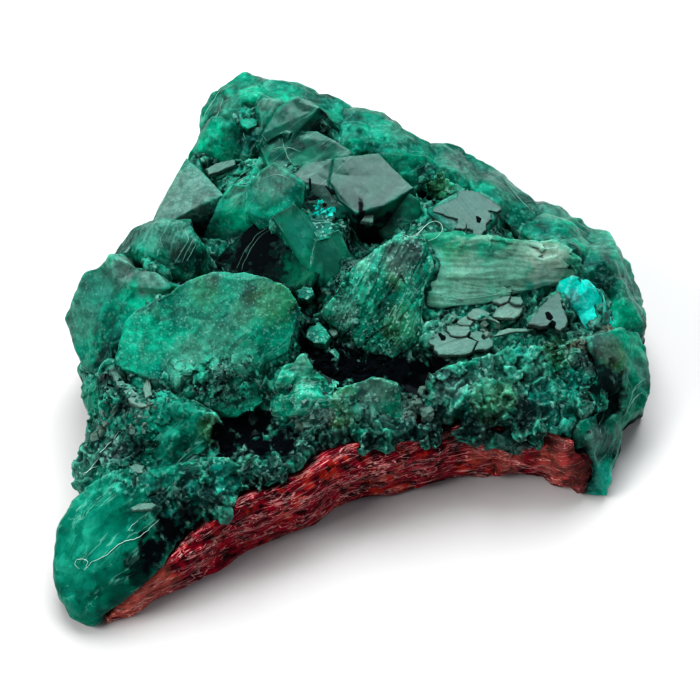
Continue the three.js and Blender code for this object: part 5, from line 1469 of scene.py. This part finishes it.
def greatest(tree, first, second):
    return sums(tree, "MAXIMUM", first, second)


def ranged(tree, value, low, high, toLow=0.0, toHigh=1.0):
    return add(tree, "ShaderNodeMapRange", {0: value, 1: low, 2: high, 3: toLow, 4: toHigh}).outputs[0]


def mask(tree, name):
    return add(tree, "ShaderNodeAttribute", attribute_name=name).outputs["Fac"]


def mottleGroup():
    # a soft patchy mask of 0 to 1
    tree, inputs, outputs = newGroup("mottle", {
        "Size": 0.001, "Turn": (0, 0, 0), "Low": 0.4, "High": 0.6, "Detail": 4.0, "Fade": 0.55}, ["Mask"])
    where = add(tree, "ShaderNodeTexCoord").outputs["Object"]
    turned = add(tree, "ShaderNodeMapping", {"Vector": where, "Rotation": inputs["Turn"]}).outputs[0]
    scale = sums(tree, "DIVIDE", 1.0, inputs["Size"])
    noise = add(tree, "ShaderNodeTexNoise", {
        "Vector": turned, "Scale": scale, "Detail": inputs["Detail"], "Roughness": inputs["Fade"]})
    tree.links.new(ranged(tree, noise.outputs[0], inputs["Low"], inputs["High"]), outputs["Mask"])
    return tree


def sparkleGroup():
    # a mosaic of tiny grains of Size: a height for each, and a mask of the few brightest, which paints glints
    tree, inputs, outputs = newGroup("sparkle", {"Size": 0.0002}, ["Height", "Bright"])
    where = add(tree, "ShaderNodeTexCoord").outputs["Object"]
    scale = sums(tree, "DIVIDE", 1.0, inputs["Size"])
    grain = add(tree, "ShaderNodeTexVoronoi", {"Vector": where, "Scale": scale})
    apart = add(tree, "ShaderNodeSeparateColor", {0: grain.outputs["Color"]})
    tree.links.new(sums(tree, "ADD", grain.outputs["Distance"], apart.outputs[0]), outputs["Height"])
    tree.links.new(ranged(tree, apart.outputs[1], 0.8, 0.95), outputs["Bright"])
    return tree


def fibresGroup():
    # thin wandering lines along the grain, where a drawn-out noise passes its middle value; they come and go
    # in patches
    tree, inputs, outputs = newGroup("fibres", {
        "Size": 0.001, "Stretch": 0.15, "Width": 0.02, "Share": 0.5, "Waviness": 0.4}, ["Mask"])
    where = add(tree, "ShaderNodeAttribute", attribute_name="grain").outputs["Vector"]
    squeeze = add(tree, "ShaderNodeCombineXYZ", {0: inputs["Stretch"], 1: 1.0, 2: 1.0}).outputs[0]
    drawn = add(tree, "ShaderNodeMapping", {"Vector": where, "Scale": squeeze}).outputs[0]
    scale = sums(tree, "DIVIDE", 1.0, inputs["Size"])
    noise = add(tree, "ShaderNodeTexNoise", {
        "Vector": drawn, "Scale": scale, "Detail": 3.0, "Distortion": inputs["Waviness"]}).outputs[0]
    off = sums(tree, "ABSOLUTE", sums(tree, "SUBTRACT", noise, 0.5))
    line = ranged(tree, off, 0.0, inputs["Width"], 1.0, 0.0)
    patch = add(tree, "ShaderNodeTexNoise", {
        "Vector": drawn, "Scale": times(tree, scale, 0.6), "Detail": 1.0}).outputs[0]
    least = sums(tree, "SUBTRACT", 0.75, times(tree, inputs["Share"], 0.5))
    shown = ranged(tree, patch, least, sums(tree, "ADD", least, 0.08))
    tree.links.new(times(tree, line, shown), outputs["Mask"])
    return tree


def mosaicGroup():
    # flat tones of 0 to 1 in angular cells, like broken faces seen inside a crystal
    tree, inputs, outputs = newGroup("mosaic", {"Size": 0.001, "Stretch": 0.5}, ["Tone"])
    where = add(tree, "ShaderNodeAttribute", attribute_name="grain").outputs["Vector"]
    squeeze = add(tree, "ShaderNodeCombineXYZ", {0: inputs["Stretch"], 1: 1.0, 2: 1.0}).outputs[0]
    drawn = add(tree, "ShaderNodeMapping", {"Vector": where, "Scale": squeeze}).outputs[0]
    scale = sums(tree, "DIVIDE", 1.0, inputs["Size"])
    cell = add(tree, "ShaderNodeTexVoronoi", {"Vector": drawn, "Scale": scale}, distance="CHEBYCHEV")
    apart = add(tree, "ShaderNodeSeparateColor", {0: cell.outputs["Color"]})
    tree.links.new(apart.outputs[0], outputs["Tone"])
    return tree


stains = {
    "olive": srgb(90, 130, 62),
    "turq": srgb(0, 165, 152),
    "plum": srgb(92, 88, 98),
    "rust": srgb(150, 72, 26),
    "leaf": srgb(8, 124, 98),
}


def crystalGroup():
    # green in painted light and shade: deep in the hollows and where shade spots paint shade, bright where
    # glow spots paint light coming through, varied by random patches and tones; stained on its spots, greyed
    # where pale (partly its own grey, partly painted sheen on level heads and in veils), varied by its
    # speckle, crossed by fibres, frosted along its edges with painted edge highlights, lit by painted glints,
    # and near black in the painted shade of cavities, grooves and shade spots and along its cracks
    tree, inputs, outputs = newGroup("crystalColour", {
        **{key.title(): value for key, value in greens.items()},
        "Patches": 0.5, "Mosaic": 0.5, "Veil": 0.0, "Speckle": 0.5, "Speckling": 0.3, "Frosting": 0.0,
        "Fibres": 0.0, "Cracks": 0.0, "Edge Frost": 0.4}, ["Color", "Frosted", "Black"])
    # painted light and shade: bulges lighter and dips darker, glow spots painted light shining through, shade
    # spots painted shade, mixed with random patches, mosaic and tones
    light = times(tree, mask(tree, "bulge"), 0.5)
    for value, share in ((inputs["Patches"], 0.6), (inputs["Mosaic"], 0.4), (mask(tree, "tone"), 0.5),
                         (mask(tree, "glow"), 0.9), (mask(tree, "shade"), -0.9)):
        light = sums(tree, "ADD", light, times(tree, value, share))
    even = sums(tree, "ADD", 0.45, times(tree, light, 0.35))
    light = add(tree, "ShaderNodeMix", {0: mask(tree, "soft"), 2: light, 3: even},
                data_type="FLOAT").outputs[0]
    colour = mixColour(tree, ranged(tree, light, 0.2, 0.9), inputs["Deep"], inputs["Body"])
    colour = mixColour(tree, ranged(tree, light, 0.9, 1.7), colour, inputs["Bright"])
    for stain, tint in stains.items():
        colour = mixColour(tree, mask(tree, stain), colour, tint)
    plain = sums(tree, "SUBTRACT", 1.0, mask(tree, "soft"))
    # painted sheen: grey where pale spots and level heads lie and in the veils, kept off the soft spots
    veil = times(tree, inputs["Veil"], plain)
    grey = greatest(tree, times(tree, mask(tree, "pale"), 0.9), veil)
    colour = mixColour(tree, grey, colour, inputs["Pale"])
    speckling = times(tree, plain, inputs["Speckling"])
    dimmed = sums(tree, "ADD", 1.1, times(tree, sums(tree, "SUBTRACT", inputs["Speckle"], 1.0), speckling))
    colour = mixColour(tree, 1.0, colour, dimmed, "MULTIPLY")
    # frosted edges with painted edge highlights, then painted glints and fibres, whitened towards Frost
    rim = times(tree, mask(tree, "edge"), inputs["Edge Frost"])
    # painted glints on the brightest grains
    frosting = times(tree, plain, inputs["Frosting"])
    frosted = greatest(tree, sums(tree, "ADD", rim, frosting), inputs["Fibres"])
    frosted = sums(tree, "MINIMUM", frosted, 1.0)
    colour = mixColour(tree, frosted, colour, inputs["Frost"])
    # painted shade: near black in cavities, on grooves and in the cores of shade spots; the cracks are the
    # crystal's own dark lines
    black = greatest(tree, mask(tree, "cavity"), ranged(tree, mask(tree, "shade"), 0.45, 0.95))
    black = greatest(tree, black, inputs["Cracks"])
    black = greatest(tree, black, times(tree, mask(tree, "groove"), 0.6))
    colour = mixColour(tree, black, colour, inputs["Dark"])
    for title, value in (("Color", colour), ("Frosted", frosted), ("Black", black)):
        tree.links.new(value, outputs[title])
    return tree


mottle, sparkle, fibres, mosaic = mottleGroup(), sparkleGroup(), fibresGroup(), mosaicGroup()
crystalColour = crystalGroup()


def newMaterial(name):
    material = bpy.data.materials.new(name)
    material.use_nodes = True
    return material, material.node_tree


# painted light among the shared looks: the glints share paints glints on the brightest grains, the veil share
# a grey painted sheen in patches, and the edge share whitens frosted edges with painted edge highlights
plainLook = {
    "patch": 0.0022, "mosaic": 0.0013, "grain": 0.0005, "sparkle": 0.0004, "frosting": 0.05,
    "edgeFrost": 0.25, "veil": 0.4, "speckling": 0.3, "fibre": 0.25, "fibreSize": 0.0013, "fibreShare": 0.45,
    "crack": 0.4, "crackSize": 0.002, "crackShare": 0.35, "crackStretch": 0.6, "roughness": 0.3,
    "bump": 0.000006, "clear": 0.1, "milky": 0.4, "depth": 0.001, "gloss": 0.22, "tint": (0.35, 1.0, 0.88, 1),
}


def dioptase(name, **changes):
    look = {**greens, **plainLook, **changes}
    material, tree = newMaterial(name)
    patches = place(tree, mottle, {"Size": look["patch"], "Low": 0.35, "High": 0.65, "Detail": 5.0})[0]
    # painted sheen: patches of grey veil
    veil = place(tree, mottle, {
        "Size": look["patch"] * 0.6, "Low": 0.52, "High": 0.62, "Detail": 6.0, "Turn": (1, 2, 0.5)})[0]
    speck = place(tree, mottle, {"Size": look["grain"], "Low": 0.38, "High": 0.62, "Detail": 6.0,
                                 "Fade": 0.75})[0]
    grains = place(tree, sparkle, {"Size": look["sparkle"]})
    tones = place(tree, mosaic, {"Size": look["mosaic"]})[0]
    thin = place(tree, fibres, {"Size": look["fibreSize"], "Share": look["fibreShare"], "Width": 0.03})[0]
    cracked = place(tree, fibres, {
        "Size": look["crackSize"], "Share": look["crackShare"], "Width": 0.012,
        "Stretch": look["crackStretch"], "Waviness": 1.0})[0]
    colour = place(tree, crystalColour, {
        **{key.title(): look[key] for key in ("deep", "body", "bright", "pale", "frost")},
        "Patches": patches, "Mosaic": tones, "Veil": times(tree, veil, look["veil"]),
        "Speckle": speck, "Speckling": look["speckling"],
        # painted glints on the brightest grains of the sparkle mosaic
        "Frosting": times(tree, grains["Bright"], look["frosting"]),
        "Fibres": times(tree, thin, look["fibre"]),
        "Cracks": times(tree, cracked, look["crack"]), "Edge Frost": look["edgeFrost"]})
    # rougher where frosted, on painted glints and on fibres
    rough = ranged(tree, colour["Frosted"], 0.0, 1.0, look["roughness"], 0.7)
    rough = greatest(tree, rough, ranged(tree, colour["Black"], 0.3, 1.0, 0.0, 1.0))
    height = sums(tree, "ADD", grains["Height"], speck)
    height = times(tree, height, ranged(tree, mask(tree, "soft"), 0.0, 1.0, 1.0, 0.15))
    relief = add(tree, "ShaderNodeBump", {"Height": height, "Distance": look["bump"], "Strength": 1.0})
    fill(tree, tree.nodes["Principled BSDF"], {
        "Base Color": colour["Color"], "Roughness": rough, "Normal": relief.outputs[0], "IOR": 1.66,
        "Specular IOR Level": look["gloss"], "Specular Tint": look["tint"],
        "Transmission Weight": look["clear"], "Subsurface Weight": look["milky"],
        "Subsurface Radius": (0.15, 1.0, 0.7), "Subsurface Scale": look["depth"]})
    return material


def rockMaterial():
    # crimson with orange-red patches and paler grains, crossed by wavy pinkish fibres along the front, and
    # near black with painted shade in its pits, creases and shade spots and under the crust
    material, tree = newMaterial("hostRock")
    patches = place(tree, mottle, {"Size": 0.002, "Low": 0.54, "High": 0.62, "Detail": 7.0, "Fade": 0.65})[0]
    deeper = place(tree, mottle, {"Size": 0.0011, "Low": 0.4, "High": 0.62, "Detail": 6.0})[0]
    fine = place(tree, fibres, {"Size": 0.0004, "Stretch": 0.16, "Width": 0.036, "Share": 0.6,
                                "Waviness": 0.8})[0]
    middling = place(tree, fibres, {"Size": 0.0008, "Stretch": 0.18, "Width": 0.02, "Share": 0.7,
                                    "Waviness": 1.2})[0]
    broad = place(tree, fibres, {"Size": 0.0018, "Stretch": 0.24, "Width": 0.011, "Share": 0.8,
                                 "Waviness": 1.6})[0]
    dark = place(tree, mottle, {"Size": 0.0009, "Low": 0.54, "High": 0.6, "Detail": 6.0,
                                "Turn": (1, 0, 2)})[0]
    colour = mixColour(tree, deeper, srgb(84, 0, 26), srgb(158, 0, 44))
    colour = mixColour(tree, times(tree, patches, 0.6), colour, srgb(200, 60, 26))
    colour = mixColour(tree, times(tree, dark, 0.9), colour, srgb(34, 0, 8))
    pink = greatest(tree, times(tree, fine, 0.75), times(tree, middling, 0.95))
    pink = greatest(tree, pink, times(tree, broad, 0.9))
    colour = mixColour(tree, times(tree, mask(tree, "pale"), 0.75), colour, srgb(188, 106, 92))
    colour = mixColour(tree, pink, colour, srgb(240, 180, 174))
    where = add(tree, "ShaderNodeTexCoord").outputs["Object"]
    height = add(tree, "ShaderNodeSeparateXYZ", {0: where}).outputs[2]
    # painted shade: near black in the hollows just under the crust, in creases and on the shade spots
    under = times(tree, mask(tree, "cavity"), ranged(tree, height, 0.005, 0.0068))
    black = greatest(tree, under, times(tree, mask(tree, "groove"), 0.9))
    black = greatest(tree, black, mask(tree, "shade"))
    colour = mixColour(tree, black, colour, greens["dark"])
    grain = place(tree, mottle, {"Size": 0.0003, "Low": 0.3, "High": 0.7, "Detail": 4.0})[0]
    relief = add(tree, "ShaderNodeBump", {
        "Height": sums(tree, "ADD", grain, fine), "Distance": 0.00008, "Strength": 1.0})
    fill(tree, tree.nodes["Principled BSDF"], {
        "Base Color": colour, "Normal": relief.outputs[0], "Roughness": 0.55, "Specular IOR Level": 0.12})
    return material


finishes = {
    "glassy": dioptase(
        "glassyDioptase", body=srgb(0, 118, 98), pale=srgb(50, 70, 65), veil=0.3, edgeFrost=0.06,
        mosaic=0.0016, clear=0.35, milky=0.25, gloss=0.16, tint=(0.7, 1.0, 0.95, 1), roughness=0.28,
        bump=0.000004, grain=0.0007),
    # a shaded copy of the dioptase: painted shade on the dark crystal's flank and on the dark flakes
    "dark": dioptase(
        "darkDioptase", deep=srgb(0, 16, 18), body=srgb(0, 60, 50), bright=srgb(0, 120, 92),
        pale=srgb(60, 84, 76), veil=0.1, edgeFrost=0.1, fibre=0.1, clear=0.3, milky=0.1, gloss=0.1,
        roughness=0.25, bump=0.000003),
    "milky": dioptase(
        "milkyDioptase", deep=srgb(0, 50, 44), body=srgb(0, 120, 100), pale=srgb(106, 130, 123), mosaic=0.002,
        edgeFrost=0.25, patch=0.0026, clear=0.12, milky=0.6, depth=0.0018, roughness=0.34, speckling=0.6,
        grain=0.0007, tint=(0.12, 1.0, 0.85, 1), veil=0.15, gloss=0.16, frosting=0.14, sparkle=0.0002),
    "frosted": dioptase(
        "frostedDioptase", body=srgb(6, 138, 114), bright=srgb(30, 172, 144), patch=0.003, mosaic=0.001,
        grain=0.0007, sparkle=0.00014, frosting=0.22, speckling=0.55, veil=0.38, roughness=0.45,
        bump=0.000014, clear=0.03, milky=0.35, crack=0.15, gloss=0.15, pale=srgb(92, 134, 120),
        tint=(0.2, 1.0, 0.88, 1)),
    "striated": dioptase(
        "striatedDioptase", deep=srgb(20, 118, 98), body=srgb(62, 160, 136), bright=srgb(112, 190, 168),
        pale=srgb(150, 172, 160), patch=0.003, mosaic=0.0014, grain=0.0006, sparkle=0.00014, frosting=0.08,
        speckling=0.35, veil=0.4, fibre=0.3, crack=0.5, crackSize=0.0014, crackShare=0.5, crackStretch=0.12,
        roughness=0.45, bump=0.00001, clear=0.03, milky=0.4, gloss=0.15),
    "shattered": dioptase(
        "shatteredDioptase", deep=srgb(0, 60, 54), body=srgb(0, 134, 110), bright=srgb(60, 186, 158),
        pale=srgb(110, 150, 134), patch=0.0016, mosaic=0.0008, grain=0.0008, sparkle=0.00018, frosting=0.5,
        speckling=0.6, veil=0.3, edgeFrost=0.3, fibre=0.5, fibreSize=0.0008, crackSize=0.0012, roughness=0.35,
        bump=0.00002, clear=0.08, milky=0.35, gloss=0.2, crack=0.3, tint=(0.2, 1.0, 0.88, 1)),
    "granular": dioptase(
        "granularDioptase", deep=srgb(0, 12, 16), body=srgb(0, 108, 90), bright=srgb(60, 176, 152),
        pale=srgb(78, 116, 106), patch=0.0016, mosaic=0.0008, grain=0.0008, sparkle=0.00025, frosting=0.35,
        speckling=0.75, veil=0.22, edgeFrost=0.15, fibreSize=0.0008, crackSize=0.0012, crackShare=0.7,
        roughness=0.4, bump=0.000018, clear=0.05, milky=0.35, gloss=0.12, crack=0.6, fibre=0.4,
        tint=(0.1, 1.0, 0.85, 1)),
    "turquoise": dioptase(
        "chrysocolla", deep=srgb(0, 160, 150), body=srgb(0, 200, 186), bright=srgb(40, 222, 208),
        frost=srgb(200, 235, 225), patch=0.0022, grain=0.0003, sparkle=0.0003, frosting=0.15, edgeFrost=0.5,
        roughness=0.5, bump=0.00003, clear=0.0, milky=0.1, veil=0.1, gloss=0.12),
    # pale chips and flakes, their grey partly painted sheen
    "pale": dioptase(
        "paleCleavage", deep=srgb(74, 96, 88), body=srgb(88, 108, 100), bright=srgb(102, 122, 112),
        pale=srgb(90, 100, 96), frost=srgb(124, 142, 134), grain=0.0006, speckling=0.35, crack=0.5,
        roughness=0.4, clear=0.0, milky=0.2, edgeFrost=0.5, gloss=0.3, fibre=0.08),
    # grey flakes, their grey partly painted sheen
    "grey": dioptase(
        "greyCleavage", deep=srgb(60, 72, 70), body=srgb(72, 83, 80), bright=srgb(82, 92, 90),
        pale=srgb(84, 84, 85), frost=srgb(128, 132, 128), grain=0.0006, speckling=0.35, crack=0.4,
        roughness=0.4, clear=0.0, milky=0.2, edgeFrost=0.4, gloss=0.3, fibre=0.08),
    "lint": dioptase(
        "lintFibre", deep=srgb(170, 205, 195), body=srgb(190, 220, 210), bright=srgb(205, 230, 222),
        crack=0.0, veil=0.0, speckling=0.1, roughness=0.6, milky=0.2),
    "paleLine": dioptase(
        "paleVein", deep=srgb(90, 145, 130), body=srgb(115, 170, 152), bright=srgb(135, 185, 168), crack=0.0,
        veil=0.2, speckling=0.2, roughness=0.5, milky=0.2),
    "rock": rockMaterial(),
}


def makePiece(name, shape, finish, node=None, masks=None, smooth=True):
    mesh = bpy.data.meshes.new(name)
    sides = shape["faces"].shape[1]
    mesh.vertices.add(len(shape["points"]))
    mesh.vertices.foreach_set("co", (shape["points"] / metre).astype(np.float32).ravel())
    mesh.loops.add(shape["faces"].size)
    mesh.loops.foreach_set("vertex_index", shape["faces"].astype(np.int32).ravel())
    mesh.polygons.add(len(shape["faces"]))
    mesh.polygons.foreach_set("loop_start", np.arange(0, shape["faces"].size, sides, dtype=np.int32))
    mesh.update(calc_edges=True)
    if smooth:
        mesh.shade_smooth()
    else:
        mesh.shade_flat()
    for title, values in (masks or {}).items():
        kind, field = ("FLOAT_VECTOR", "vector") if values.ndim == 2 else ("FLOAT", "value")
        layer = mesh.attributes.new(title, kind, "POINT")
        layer.data.foreach_set(field, values.astype(np.float32).ravel())
    mesh.materials.append(finishes[finish])
    made = bpy.data.objects.new(name, mesh)
    bpy.context.scene.collection.objects.link(made)
    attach(made, "root")
    if node:
        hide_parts(node)


# of the flat tones seen inside the crystals
plainTones = {"size": 1.5, "length": 1.6, "amount": 0.65, "seed": 300}


def tonesOf(p, t):
    # angular patches of one tone each, in two sizes: the owner number of each cell of a warped random tiling
    warped = p + 0.25 * np.stack([cloud(p / 0.8, t["seed"] + k) for k in (1, 2, 3)], axis=1)
    large = cells(stretched(warped, t), t["seed"])[0]
    small = cells(stretched(warped, {**t, "size": t["size"] * 0.4}), t["seed"] + 9)[0]
    large, small = (((owner >> np.uint32(9)) & np.uint32(255)) / 127.5 - 1 for owner in (large, small))
    return t["amount"] * (0.7 * large + 0.4 * small)


# glow spots paint light coming through, shade spots paint shade, pale spots grey that is partly painted
# sheen; the stains are the crystal's own colours
spotMasks = ("glow", "shade", "pale", *stains)
for name, piece in pieces.items():
    masks = masksOf(shapes[name])
    for kind in (*spotMasks, "soft"):
        if kind in piece:
            ragged = 0.8 if kind == "shade" else 0.3
            masks[kind] = nearBalls(shapes[name]["points"], spotsOf(piece, kind), ragged)
    # some pieces keep only a share of the painted shade in their hollows
    masks["cavity"] *= piece.get("dimming", 1)
    # painted sheen: level faces within the head spots are greyed
    if "head" in piece:  # grey where a level face lies in one of the spots
        level = between(0.8, 0.9, smoothed(normalsOf(shapes[name]), shapes[name], 2)[:, 2])
        level *= nearBalls(shapes[name]["points"], spotsOf(piece, "head"))
        masks["pale"] = np.maximum(masks.get("pale", 0), level)
    drawn = grainOf(shapes[name]["points"], piece)
    masks["tone"] = tonesOf(drawn, {**plainTones, **piece.get("tones", {})})
    masks["grain"] = drawn / metre
    makePiece(name, shapes[name], piece["finish"], piece["node"], masks)


def paint(shape, piece):
    # the masks of small bodies: from where they lie (painted shade where they lie low, and on a flake's
    # underside and rim), and from the spots of the piece they lie on
    points = shape["points"]
    low = between(*hollow["wide"], topsWide[cellsUnder(points)] - points[:, 2])
    found = {"cavity": np.maximum(low, shape.get("low", 0)),
             "bulge": np.full(len(points), 0.5), "grain": points / metre}
    for kind in spotMasks:
        if kind in piece:
            found[kind] = nearBalls(points, spotsOf(piece, kind))
    if "tone" in shape:
        found["tone"] = shape["tone"]
    return found


for name, (shape, finish, on) in smallShapes.items():
    masks = paint(shape, pieces[on] if finish == "granular" else {})
    makePiece(name, shape, finish, masks=masks, smooth=finish in ("lint", "paleLine"))
print("pieces ready")
